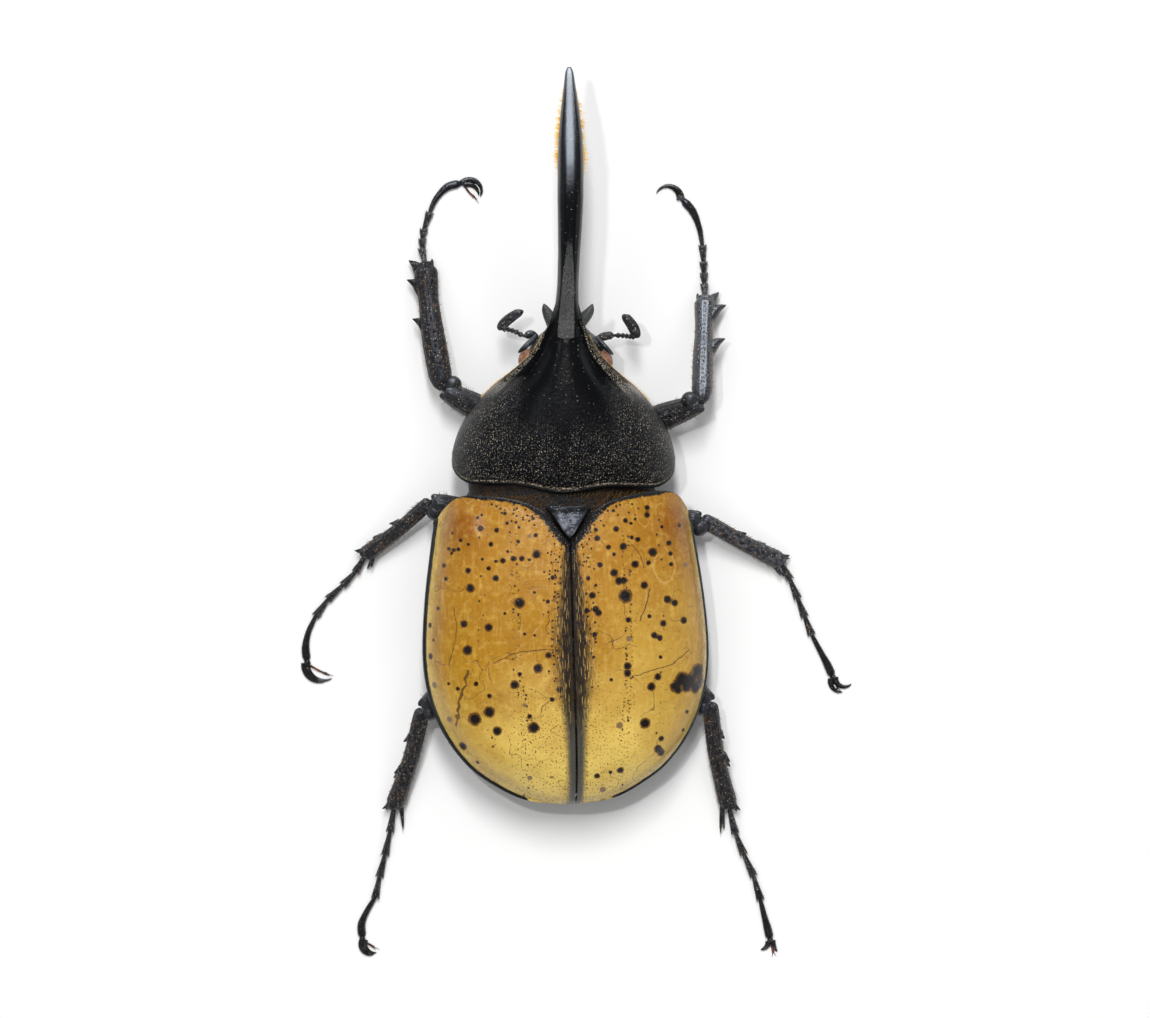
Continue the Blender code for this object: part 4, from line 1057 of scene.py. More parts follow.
@dataclass
class Patch:
    """Bare ground for hair: rows of points in a frame, the hair's direction, and shares of density and length."""

    rows: Array
    placing: Placing
    lie: Array
    grow: Array | float = 1.0
    reach: Array | float = 1.0

    def lies(self) -> Array:
        """The hair's direction at each point, in the frame of the whole beetle."""
        return np.broadcast_to(self.lie, self.rows.shape).reshape(-1, 3) @ self.placing.matrix().T

    def shares(self, word: str) -> Array:
        """The share of density or length at each point."""
        return np.broadcast_to(getattr(self, word), self.rows.shape[:2]).reshape(-1)

    def map(self) -> Array:
        """Places on the unwrapped patch, one for each point, with a small margin."""
        first, second = (np.linspace(0.03, 0.97, count) for count in self.rows.shape[:2])
        u, v = np.meshgrid(first, second, indexing="ij")
        return np.stack([u.ravel(), v.ravel()], 1)


GOLD_HAIR = HairFinish("golden hair", srgb(150, 104, 40), srgb(226, 184, 104), srgb(240, 210, 140))
ORANGE_HAIR = HairFinish("orange brush hair", srgb(200, 140, 10), srgb(255, 220, 70), srgb(250, 184, 20))
BROWN_HAIR = HairFinish("dark brown hair", srgb(20, 14, 9), srgb(96, 68, 34), srgb(150, 112, 60))
BRISTLE = HairFinish("rusty bristles", srgb(38, 24, 18), srgb(122, 82, 52), srgb(160, 126, 88))
BELLY_HAIR = HairFinish("reddish belly hair", srgb(70, 34, 14), srgb(170, 104, 48), srgb(120, 66, 28))


# Spots of the wing cases as (right, forward, radius), seen from above.
DARK_SPOTS: dict[Side, tuple[Place, ...]] = {
    Side.LEFT: (
        (-13.7, -2.2, 0.44), (-11.4, -2.5, 0.36), (-14.1, -0.7, 0.27), (-13.5, -0.3, 0.2), (-10.2, -0.1, 0.27),
        (-9.9, -1.5, 0.26), (-8.6, -1.4, 0.21), (-8.2, -2.1, 0.21), (-6.2, -0.8, 0.26), (-5.8, -3.2, 0.3),
        (-8.3, -4.1, 0.27), (-12.2, -4.5, 0.37), (-15.4, -4.5, 0.23), (-16.5, -3.9, 0.28), (-16.8, -5.2, 0.3),
        (-18.2, -5.1, 0.28), (-17.5, -5.3, 0.28), (-17.8, -5.8, 0.23), (-17.7, -2.9, 0.19), (-5.7, -5.9, 0.61),
        (-9.0, -6.5, 0.41), (-7.8, -6.5, 0.41), (-10.5, -6.8, 0.41), (-6.7, -6.7, 0.21), (-11.5, -6.9, 0.23),
        (-13.4, -6.6, 0.21), (-9.8, -5.5, 0.21), (-12.5, -7.9, 0.33), (-15.4, -8.2, 0.41), (-11.5, -9.3, 0.47),
        (-3.4, -9.2, 0.34), (-4.6, -8.4, 0.19), (-18.9, -7.5, 0.34), (-18.6, -9.4, 0.31), (-15.1, -10.7, 0.61),
        (-6.0, -11.3, 0.21), (-8.1, -12.8, 0.78), (-4.1, -12.6, 0.31), (-10.2, -14.3, 0.24), (-16.0, -15.8, 0.51),
        (-12.5, -16.3, 0.57), (-7.4, -17.2, 0.24), (-6.0, -17.4, 0.2), (-19.7, -13.6, 0.28), (-20.9, -16.0, 0.37),
        (-20.4, -18.1, 0.23), (-15.5, -19.5, 0.68), (-20.8, -20.4, 0.44), (-4.0, -20.2, 0.47), (-5.5, -22.1, 0.67),
        (-8.1, -22.9, 0.31), (-8.8, -24.4, 0.66), (-18.2, -24.3, 0.24), (-16.9, -25.0, 0.31), (-14.3, -24.3, 0.34),
        (-12.4, -26.0, 0.34), (-2.4, -25.1, 0.47), (-3.5, -26.5, 0.34), (-6.7, -28.9, 0.34), (-12.4, -28.3, 0.78),
        (-14.5, -29.3, 0.93), (-11.3, -31.0, 0.66), (-6.1, -30.5, 0.8), (-16.2, -33.2, 0.63), (-14.1, -35.5, 0.31),
    ),
    Side.RIGHT: (
        (5.2, 0.3, 0.28), (10.0, 0.7, 0.4), (10.0, -0.3, 0.43), (6.9, -1.1, 0.37), (7.7, -1.5, 0.24),
        (8.3, -0.9, 0.21), (5.6, -2.3, 0.43), (12.1, -2.0, 0.26), (2.7, -2.4, 0.31), (2.9, -3.6, 0.43),
        (7.8, -3.5, 0.31), (8.7, -3.8, 0.37), (14.6, -1.8, 0.31), (4.5, -4.9, 0.37), (6.6, -4.8, 0.54),
        (5.3, -5.9, 0.26), (10.8, -5.6, 0.64), (13.1, -4.3, 0.4), (13.3, -5.8, 0.34), (13.4, -7.3, 0.31),
        (3.3, -7.4, 0.4), (8.3, -7.3, 0.56), (10.2, -7.1, 0.34), (5.3, -8.5, 0.56), (6.0, -9.7, 0.58),
        (6.7, -9.6, 0.5), (9.6, -10.3, 0.53), (6.9, -11.8, 0.97), (2.2, -11.7, 0.51), (2.7, -10.3, 0.23),
        (1.6, -9.3, 0.34), (12.9, -12.3, 0.58), (13.9, -12.8, 0.5), (2.7, -13.7, 0.5), (3.1, -14.2, 0.48),
        (1.4, -13.9, 0.38), (10.3, -14.7, 0.31), (7.3, -15.2, 0.4), (12.3, -15.7, 0.47), (15.2, -15.3, 0.5),
        (11.0, -17.4, 0.47), (11.8, -17.8, 0.43), (2.5, -17.3, 0.4), (7.2, -21.8, 0.56), (7.2, -22.8, 0.51),
        (2.4, -20.5, 0.24), (11.9, -20.5, 0.26), (11.5, -23.3, 0.51), (10.6, -24.7, 0.6), (4.9, -23.7, 0.26),
        (14.0, -24.7, 0.8), (15.0, -23.7, 1.05), (16.1, -23.9, 1.15), (17.3, -22.5, 1.05), (17.6, -24.1, 0.9),
        (16.9, -24.9, 0.8), (15.6, -24.8, 0.7), (14.4, -25.2, 0.55), (9.7, -29.9, 0.76), (11.6, -33.6, 0.6),
        (12.0, -34.1, 0.55), (12.0, -32.1, 0.4), (15.7, -28.3, 0.28), (15.1, -30.9, 0.28), (6.2, -36.6, 0.47),
        (4.8, -36.9, 0.27), (2.9, -37.4, 0.4),
    ),
}
PALE_SPOTS: dict[Side, tuple[Place, ...]] = {
    Side.LEFT: (
        (-6.7, -3.3, 0.3), (-20.2, -24.5, 0.47), (-7.4, -27.3, 0.31), (-18.1, -29.4, 0.47), (-6.7, -37.7, 0.34),
    ),
    Side.RIGHT: ((15.4, -7.4, 0.34), (7.4, -17.9, 0.38), (6.1, -30.2, 0.47), (3.7, -39.4, 0.43)),
}
# Scratches and cracks of the wing cases, seen from above: a breadth, below 0 for pale ones, then the points.
SCRATCHES: dict[Side, tuple[tuple[Any, ...], ...]] = {
    Side.LEFT: (
        (2.4, (-15.5, -22.5), (-15.9, -24.6), (-16.5, -26.6), (-17.2, -30.2)),
        (1.0, (-11.6, -21.3), (-8.0, -19.8), (-2.9, -19.4)),
        (0.8, (-17.4, -13.6), (-17.1, -17.0), (-18.1, -21.5)),
    ),
    Side.RIGHT: (
        (1.2, (9.0, -15.3), (9.8, -13.2), (10.4, -11.0)),
        (1.0, (15.8, -19.6), (13.6, -21.4), (8.3, -23.2)),
        (-1.3, (11.3, -6.0), (10.9, -8.0), (12.2, -9.9), (13.6, -9.4), (13.9, -7.0), (12.6, -4.9)),
        (0.8, (7.9, -4.6), (8.9, -6.0), (9.5, -7.7)),
    ),
}


# ---- Front body


@dataclass
class ShieldAndHorn:
    """The pronotum and the long horn, one continuous shell.

    Shield rows are forward distance, half-width, top, side edge and underside. Horn rows are forward distance,
    half-width, top and depth.
    """

    shield: Table = (
        (0.0, 15.7, 19.5, 12.6, 8.6), (1.6, 15.8, 20.7, 12.3, 7.6), (3.6, 15.8, 21.8, 12.0, 6.9),
        (5.6, 15.7, 22.7, 11.8, 6.5), (7.8, 15.2, 23.55, 11.6, 6.3), (9.8, 14.35, 24.16, 11.4, 6.3),
        (11.6, 13.2, 24.62, 11.2, 6.4), (13.4, 11.7, 25.04, 11.0, 6.8), (15.2, 9.9, 25.45, 11.0, 7.4),
        (17.0, 7.7, 25.84, 12.2, 10.6), (18.6, 6.0, 26.19, 14.2, 13.4), (20.2, 4.6, 26.54, 16.6, 15.9),
        (21.9, 3.55, 26.91, 18.7, 17.9), (22.8, 3.1, 27.04, 19.8, 18.9), (25.8, 2.0, 27.47, 21.6, 21.0),
    )
    horn: Table = (
        (19.0, 5.3, 26.28, 11.2), (21.9, 3.65, 26.91, 8.8), (23.1, 3.0, 27.08, 7.8), (24.2, 2.3, 27.24, 6.9),
        (25.6, 2.0, 27.44, 6.0), (27.3, 1.68, 27.68, 5.2), (30.0, 1.56, 28.07, 4.7), (34.0, 1.6, 28.62, 4.3),
        (36.0, 1.67, 28.85, 4.2), (39.0, 1.76, 29.0, 4.1), (42.0, 1.84, 28.85, 4.0), (46.0, 1.84, 28.3, 3.8),
        (49.5, 1.74, 27.5, 3.4), (52.5, 1.5, 26.5, 2.9), (55.5, 1.15, 25.3, 2.3), (58.0, 0.82, 24.2, 1.7),
        (59.8, 0.56, 23.3, 1.1), (60.5, 0.26, 22.9, 0.5),
    )
    plateau: tuple[Pair, ...] = (
        (0.0, 0.0), (21.4, 0.0), (22.1, 1.3), (26.5, 1.12), (30.6, 0.92), (32.9, 0.72), (35.3, 0.42), (39.6, 0.0),
        (60.5, 0.0),
    )
    edge_softness: float = 0.035
    meeting: Pair = (19.6, 25.4)
    crest_lines: tuple[Place, ...] = (
        (11.0, 0.86, 0.82), (13.0, 0.845, 0.79), (15.2, 0.83, 0.77), (18.1, 0.82, 0.74), (19.2, 0.82, 0.72),
        (21.4, 0.84, 0.72), (24.0, 0.88, 0.8),
    )
    horn_root: float = 23.1
    horn_reach: float = 37.4
    coarser_from: float = 24.0
    half_width: float = 15.8
    sinus: float = 1.05
    sinus_reach: float = 7.5
    corner: float = 3.3
    rear_depth: float = 6.0
    squaring: float = 0.12
    lean: float = -0.3
    bow: float = 0.4
    bead: float = 0.2
    rows: int = 430
    sides: int = 208
    tooth_tips: dict[Side, Place] = field(
        default_factory=lambda: {Side.LEFT: (-3.25, 26.8, 23.3), Side.RIGHT: (3.7, 26.9, 23.3)}
    )

    def rear_edge(self, x: Array) -> Array:
        """How far forward of its middle the hind edge lies at a distance from the midline."""
        x = np.abs(x)
        sinus = self.sinus * (1 - np.cos(np.pi * np.minimum(x / self.sinus_reach, 1.0))) / 2
        beyond = np.clip(x - (self.half_width - self.corner), 0, self.corner)
        return sinus + self.corner - np.sqrt(np.maximum(self.corner**2 - beyond**2, 0))

    def surface(self, y: Array, turn: Array) -> Array:
        """Points of the bare shell.

        Args:
            y: forward distances.
            turn: angles round the section, from the right edge over the top.

        Returns:
            An array of distances, angles and coordinates.
        """
        c, s = np.cos(turn)[None], np.sin(turn)[None]
        rise, over = np.abs(s), s >= 0
        w, top, edge, under = (column[:, None] for column in smooth_table(self.shield, y).T)
        fore = y[:, None]
        square = band(fore, 6.0, 17.0)
        x = np.where(over, w * power(c, 1 - self.squaring * square), w * power(c, 0.9))
        z = np.where(over, edge + (top - edge) * rise ** (0.9 - 0.3 * square), edge - (edge - under) * rise**0.85)
        shield = np.stack([x, fore + self.rear_edge(x) * np.maximum(1 - fore / self.rear_depth, 0), z], -1)

        w, top, depth = (column[:, None] for column in smooth_table(self.horn, y).T)
        pinch = 1.0 + np.where(over, 0.12, -0.18) * rise
        x = self.sway(fore) + w * pinch * power(c, 0.9)
        z = top - depth / 2 + depth / 2 * power(s, 0.9)
        horn = np.stack([x, np.broadcast_to(fore, x.shape), z], -1)
        part = band(fore, *self.meeting)[..., None]
        return shield * (1 - part) + horn * part

    def sway(self, y: Array) -> Array:
        """How far the horn's middle lies to the right."""
        share = (y - self.horn_root) / self.horn_reach
        return self.lean * share + self.bow * np.sin(np.pi * np.clip(share, 0, 1))

    def levelled(self, grid: Array, y: Array, turn: Array) -> Array:
        """Planes the top of the horn's root to a flat strip with crisp edges.

        Args:
            grid: points by distance and angle.
            y: forward distances.
            turn: angles round the section.

        Returns:
            The points, planed.
        """
        half = smooth_table(self.plateau, y)[:, 0]
        upper = np.flatnonzero(np.sin(turn) > 0)
        for ring, reach, centre in zip(grid, half, self.sway(y) * band(y, *self.meeting)):
            if reach <= 0:
                continue
            x, z = ring[upper, 0], ring[upper, 2]
            top = z.max()
            edges = np.interp((centre - reach, centre + reach), x[::-1], z[::-1])
            cut = top - edges.max()
            fall = top - z - cut
            fall = (fall + np.sqrt(fall**2 + (self.edge_softness * min(reach * 2, 1)) ** 2)) / 2
            whole = top - z.min()
            ring[upper, 2] = top - fall * whole / (whole - cut)
        return grid

    def build(self) -> Piece:
        """Makes the shell with its margin, ridges and dust, a painted sheen and a painted highlight along the crests,
        and settles it.
        """
        start, end, count = self.coarser_from, self.horn[-1][0], self.rows // 2
        y = np.concatenate([np.linspace(0, start, count), np.linspace(start, end, count + 1)[1:]])
        turn = circle(self.sides)
        grid = self.levelled(self.surface(y, turn), y, turn)
        forward = np.gradient(grid, axis=0)
        around = np.roll(grid, -1, 1) - np.roll(grid, 1, 1)
        normal = unit(np.cross(around, forward))
        normal *= np.sign((normal[..., 2] * np.sin(turn)[None]).sum())

        step = np.linalg.norm(np.roll(grid, -1, 1) - grid, axis=-1)
        run = np.cumsum(step, 1) - step
        half = self.sides // 2
        whole = run[:, -1:] + step[:, -1:]
        right = np.minimum(run, whole - run)
        left = np.abs(run - run[:, half : half + 1])
        side = np.minimum(right, left)
        upper = (np.sin(turn) > -0.05)[None]
        fore = y[:, None]
        on_shield = 1 - band(fore, 16.5, 20.5)
        across = np.abs(grid[..., 0])
        ratio = across / np.maximum(across.max(1, keepdims=True), 1e-6)

        rim = np.where(upper, np.minimum(side, fore), side)
        margin = (self.bead * hump(rim, 0.16, 0.2) - 0.15 * hump(rim, 0.56, 0.16)) * on_shield
        crest_on = band(fore, 12.5, 17.0) * (1 - band(fore, 22.5, 24.5)) * upper
        marks, left_line, right_line = np.array(self.crest_lines).T
        on_right = (np.cos(turn) > 0)[None]
        line = np.where(on_right, np.interp(fore, marks, right_line), np.interp(fore, marks, left_line))
        groove = band(ratio, line + 0.01, line + 0.06) * (1 - band(ratio, line + 0.1, line + 0.15))
        crest = (0.16 * hump(ratio, line, 0.03) - 0.3 * groove) * crest_on
        grid = grid + normal * (margin + crest)[..., None]

        lip = []
        middle = grid[0].mean(0)
        for shrink, sunk in ((0.8, 1.6), (0.95, 1.0), (0.985, 0.25)):
            lip.append(middle + (grid[0] - middle) * shrink + np.array([0, sunk, 0]))
        rings = np.concatenate([np.array(lip), grid])
        extra = len(rings) - len(grid)
        piece = outwards(make_piece("shield_and_horn", Shape.skin(rings), FRONT))

        flank = band(ratio + 0.02 * (10 - fore), 0.25, 0.75) * on_shield * (1 - 0.8 * band(fore, 12.5, 16.5))
        hindward = 0.9 * (1 - band(fore, 3.0, 15.5)) * (1 - 0.6 * hump(across, 0.0, 0.9) * band(fore, 3, 7))
        grain = np.maximum(flank, hindward) * upper
        grain = np.maximum(grain, (1 - np.asarray(upper, float)) * on_shield * 0.8)
        crust = band(ratio, line, line + 0.04) * band(fore, 12.5, 16.5) * (1 - band(fore, 23.0, 25.0)) * upper
        crust = crust * band(rim, 0.05, 0.2)
        grain = np.clip(np.maximum(grain, crust * 0.8) + 0.06, 0, 1)
        grain = grain * (1 - 0.9 * (1 - band(rim, 0.32, 0.5)) * on_shield)
        # A grey coat on the shield's sides, partly dust and partly painted sheen, and a painted pale sheen on the
        # rubbed tip of the horn.
        veil = band(ratio, 0.7, 1.0) * on_shield * 0.28 * upper * band(rim, 0.3, 0.5)
        veil = np.maximum(veil, band(fore, 52.0, 60.5) * upper)
        # bright: a thin pale line along the crest, painted in the dust colour, is a painted highlight. It joins the tan
        # dust line of the hind margin.
        bright = hump(ratio, line + 0.05, 0.012) * crest_on * band(fore, 14.0, 16.0)
        tan = (hump(rim, 0.56, 0.09) + bright) * on_shield * upper
        dull = band(fore, 14.5, 17.0) * (1 - band(fore, 24.0, 30.0)) * band(ratio, 0.4, 0.7)
        satin = (band(fore, 40.0, 48.0) - 0.6 * dull) * upper
        top = self.sides // 4
        sheet = np.stack([run - run[:, top : top + 1], np.broadcast_to(fore, run.shape), 0 * run], -1)
        layers = {"grain": grain, "veil": veil, "seam": tan, "satin": satin, "crust": crust, "sheet": sheet}
        for name, values in layers.items():
            flat = np.concatenate([np.repeat(values[:1], extra, 0), values])
            flat = flat.reshape(-1, 3) if name == "sheet" else flat.ravel()
            paint(piece, **{name: np.concatenate([flat, 0 * flat[:2]])})
        finish = ShellFinish("shield shell").material()
        return settle(piece, Slot.BLACK, finish, "pronotum", "thoracic_horn")

    def build_teeth(self) -> None:
        """The pair of small leaf-like teeth at the horn's root."""
        for side, tip in self.tooth_tips.items():
            way = side.value
            path = ((way * 0.9, 22.6, 22.4), (way * 1.9, 24.2, 22.7), (tip[0] * 0.86, 25.7, 23.1), tip)
            radii = ((0, 1.5, 1.9), (0.3, 1.05, 1.3), (0.62, 0.74, 0.8), (0.86, 0.42, 0.4), (1, 0.09, 0.1))
            piece = outwards(make_piece(f"horn_tooth_{side.word}", limb(path, radii, 28, 60), FRONT))
            places = coordinates(piece)
            paint(piece, grain=np.full(len(places), 0.5), veil=np.full(len(places), 0.9), sheet=places)
            settle(piece, Slot.BLACK, ShellFinish(f"tooth shell {side.word}").material())

    def brush(self) -> Patch:
        """The bare ground of the orange brush under the horn."""
        y = np.linspace(27, 57.5, 90)
        turn = np.radians(np.linspace(192, 348, 25))
        rows = self.surface(y, turn)
        middle = rows.mean(1, keepdims=True) + np.array([0, 0, 1.2])
        lie = unit(rows - middle) + np.array([0, 0.25, 0])
        fore = y[:, None] + 0 * turn[None]
        reach = 0.2 + 0.8 * band(fore, 44.0, 47.5) - 0.5 * band(fore, 54.0, 57.0)
        grow = 0.35 + 0.65 * band(fore, 38, 45)
        return Patch(rows, FRONT, lie, grow, reach)

    def fringe(self, side: Side) -> Patch:
        """The bare ground of the golden fringe along the shield's front edge on one side."""
        y = np.linspace(13.2, 22.4, 70)
        edge = 0.0 if side is Side.RIGHT else 180.0
        turn = np.radians(edge + side.value * -np.linspace(0.0, 6.0, 6))
        rows = self.surface(y, turn)
        lie = np.array([side.value * 0.5, 0.85, -0.25])
        reach = 0.45 + 0.55 * (1 - band(y[:, None], 16.5, 19.5)) + 0 * turn[None]
        return Patch(rows, FRONT, lie, 1.0, reach)


@dataclass
class HeadAndHorn:
    """The head with its ledges, the lower horn and its tooth, grown into one shell.

    Head rows are forward distance, half-width, middle height and half-height; horn rows are forward distance,
    height, half-width and half-depth.
    """

    head: Table = (
        (15.0, 3.6, 11.6, 2.6), (16.6, 4.8, 11.9, 3.4), (18.0, 5.3, 12.1, 3.7), (19.2, 5.5, 12.0, 3.6),
        (20.1, 5.5, 11.9, 3.5), (21.4, 5.0, 11.6, 3.4), (22.6, 3.85, 11.1, 3.0), (23.6, 2.7, 10.6, 2.5),
        (24.6, 2.1, 10.1, 1.9), (25.5, 1.75, 9.7, 1.3), (26.1, 1.3, 9.4, 0.7),
    )
    horn: Table = (
        (19.6, 12.4, 1.7, 1.9), (21.6, 14.8, 1.35, 1.7), (24.5, 16.0, 1.05, 1.4), (29.0, 16.2, 0.95, 1.2),
        (34.5, 16.7, 0.9, 1.15), (40.0, 18.2, 0.8, 1.0), (45.0, 20.4, 0.6, 0.75), (47.9, 22.05, 0.3, 0.36),
        (48.4, 22.3, 0.14, 0.14),
    )
    shift: float = 0.2
    notch: float = 0.6
    voxel: float = 0.11
    eye_place: Place = (5.15, 18.85, 12.6)
    eye_radii: Place = (1.6, 1.65, 1.6)

    def build(self) -> Piece:
        """Makes the head with its horn and settles it."""
        y = np.linspace(self.head[0][0], self.head[-1][0], 90)
        turn = circle(96)
        c, s = np.cos(turn)[None], np.sin(turn)[None]
        w, middle, half = (column[:, None] for column in smooth_table(self.head, y).T)
        fore = y[:, None]
        ledge = 1.05 + 0.3 * band(fore, 17.0, 18.0) * (1 - band(fore, 22.4, 23.4))
        x = self.shift + w * power(c, 1.0) * np.abs(c) ** (ledge - 1)
        notch = self.notch * np.maximum(1 - np.abs(c) * 2.2, 0) * (fore > 25.0)
        z = middle + half * power(s, 0.9) - 0.35 * hump(np.abs(c), 0.62, 0.14) * (s > 0) * band(fore, 18, 20)
        skull = Shape.skin(np.stack([x, fore - notch, z], -1))
        path = [(0.0, row[0], row[1]) for row in self.horn]
        last = len(path) - 1
        radii = [(k / last, row[2], row[3]) for k, row in enumerate(self.horn)]
        spike = limb(path, radii, 32, 160)
        crest = [(0.0, 37.8, 17.3), (0.0, 37.75, 18.5), (0.0, 37.3, 19.65)]
        spur = limb(crest, ((0, 0.55, 1.3), (0.5, 0.4, 0.75), (1, 0.12, 0.14)), 20, 20, (0, 1, 0))
        root = limb([(0, 18.0, 12.2), (0, 20.6, 14.2), (0, 23.4, 15.7)], ((0, 3.4), (0.5, 1.9), (1, 1.0)))
        keels = []
        for way in (-1, 1):
            keel = [(way * 1.5, 24.0, 12.0), (way * 3.2, 22.0, 14.0), (way * 4.8, 19.8, 14.0), (way * 5.4, 18.0, 13.0)]
            keels.append(limb(keel, ((0, 0.2), (0.5, 0.42), (1, 0.2)), 12, 30))
            ledge = [(way * 4.2, 22.3, 12.5), (way * 5.4, 21.1, 13.3), (way * 6.8, 19.8, 13.6)]
            keels.append(limb(ledge, ((0, 0.4), (0.5, 0.42), (0.9, 0.26), (1, 0.1)), 16, 30))
        shape = skull.and_(spike, spur, root, *keels)
        piece = grown("head_and_horn", shape, FRONT, self.voxel, 4)
        finish = PlateFinish("head shell", pit=0.36, depth=0.07)
        return settle(piece, Slot.BLACK, finish.material(), "head", "head_horn")

    def build_eyes(self) -> None:
        """The two compound eyes."""
        finish = EyeFinish().material()
        for side in Side:
            x, y, z = self.eye_place
            ball = ellipsoid((side.value * x, y, z), self.eye_radii, 64, 48)
            piece = outwards(make_piece(f"lens_dome_{side.word}", ball, FRONT))
            settle(piece, Slot.EYE, finish, f"eye_{side.word}")

    def build_mouth(self) -> None:
        """The mandibles and the jaw feelers under the front of the head."""
        jaw_finish = PlateFinish("jaw shell", pit=0.3, depth=0.04).material()
        palp_finish = PlateFinish("palp shell", colour=srgb(64, 40, 28), worn=srgb(120, 80, 52), depth=0.03).material()
        for side in Side:
            way = side.value
            path = ((way * 0.9, 24.3, 8.4), (way * 1.3, 25.4, 8.0), (way * 1.25, 26.4, 7.9), (way * 0.85, 27.1, 8.0))
            radii = ((0, 0.7, 0.5), (0.4, 0.62, 0.45), (0.62, 0.55, 0.38), (0.7, 0.4, 0.32), (0.85, 0.36, 0.28))
            jaw = limb(path, (*radii, (1, 0.14, 0.12)), 24, 48)
            piece = outwards(make_piece(f"jaw_{side.word}", jaw, FRONT))
            settle(piece, Slot.BLACK, jaw_finish, f"mandible_{side.word}")
            path = ((way * 1.5, 22.4, 8.0), (way * 1.9, 23.5, 6.9), (way * 1.9, 24.7, 6.4), (way * 1.5, 25.8, 6.2))
            radii = ((0, 0.3), (0.25, 0.38), (0.34, 0.2), (0.56, 0.4), (0.66, 0.2), (0.88, 0.42), (1, 0.12))
            palp = limb(path, radii, 20, 64)
            piece = outwards(make_piece(f"mouth_feeler_{side.word}", palp, FRONT))
            settle(piece, Slot.LEG, palp_finish, f"palp_{side.word}")


@dataclass
class Feeler:
    """One antenna: a swollen first joint, a beaded shaft and a club of three leaves folded back."""

    side: Side
    shaft: tuple[Place, ...]
    club: tuple[Place, ...]
    beads: int = 5
    leaf_gap: float = 0.4

    def build(self) -> None:
        """Makes the feeler as one grown shell and settles it."""
        radii = [(0.0, 0.34), (0.08, 0.46), (0.2, 0.62), (0.32, 0.56), (0.4, 0.22)]
        for bead in range(self.beads):
            start = 0.42 + bead * 0.58 / self.beads
            radii += [(start + 0.012, 0.22), (start + 0.05, 0.4), (start + 0.085, 0.36)]
        radii.append((1.0, 0.26))
        stalk = limb(self.shaft, radii, 24, 150)
        leaves = []
        for leaf in (-1, 0, 1):
            lift, aside = leaf * self.leaf_gap, leaf * 0.16
            path = [self.shaft[-1]] + [(x + aside, y, z + lift) for x, y, z in self.club]
            size = ((0, 0.2, 0.16), (0.16, 0.5, 0.19), (0.45, 0.66, 0.2), (0.8, 0.56, 0.19))
            size = (*size, (0.94, 0.34, 0.15), (1, 0.1, 0.08))
            leaves.append(limb(path, size, 28, 50))
        piece = grown(f"feeler_{self.side.word}", stalk.and_(*leaves), FRONT, 0.06, 2)
        follow(piece, FRONT.world(np.array(self.shaft + self.club)), 0.4)
        colours = srgb(27, 27, 29), srgb(70, 60, 52), srgb(190, 178, 156)
        finish = LegFinish(f"feeler shell {self.side.word}", *colours, 6.0)
        settle(piece, Slot.LEG, finish.material(), f"antenna_{self.side.word}")


FEELERS = (
    Feeler(
        Side.LEFT,
        ((-3.7, 21.6, 10.6), (-4.9, 22.5, 10.9), (-6.0, 22.3, 11.0), (-7.1, 22.8, 11.1), (-8.1, 23.1, 11.2),
         (-9.0, 23.15, 11.3)),
        ((-9.2, 23.5, 11.4), (-8.6, 24.25, 11.6), (-7.75, 24.95, 11.8), (-6.95, 25.5, 11.9), (-6.3, 25.85, 11.9)),
    ),
    Feeler(
        Side.RIGHT,
        ((3.7, 21.6, 10.6), (5.5, 22.45, 10.9), (6.9, 22.6, 11.0), (8.1, 22.6, 11.1), (9.0, 22.5, 11.2),
         (9.8, 22.4, 11.3)),
        ((9.95, 22.8, 11.4), (9.65, 23.6, 11.6), (9.15, 24.4, 11.8), (8.6, 25.1, 11.9), (8.15, 25.6, 11.9)),
    ),
)


# ---- Hind body


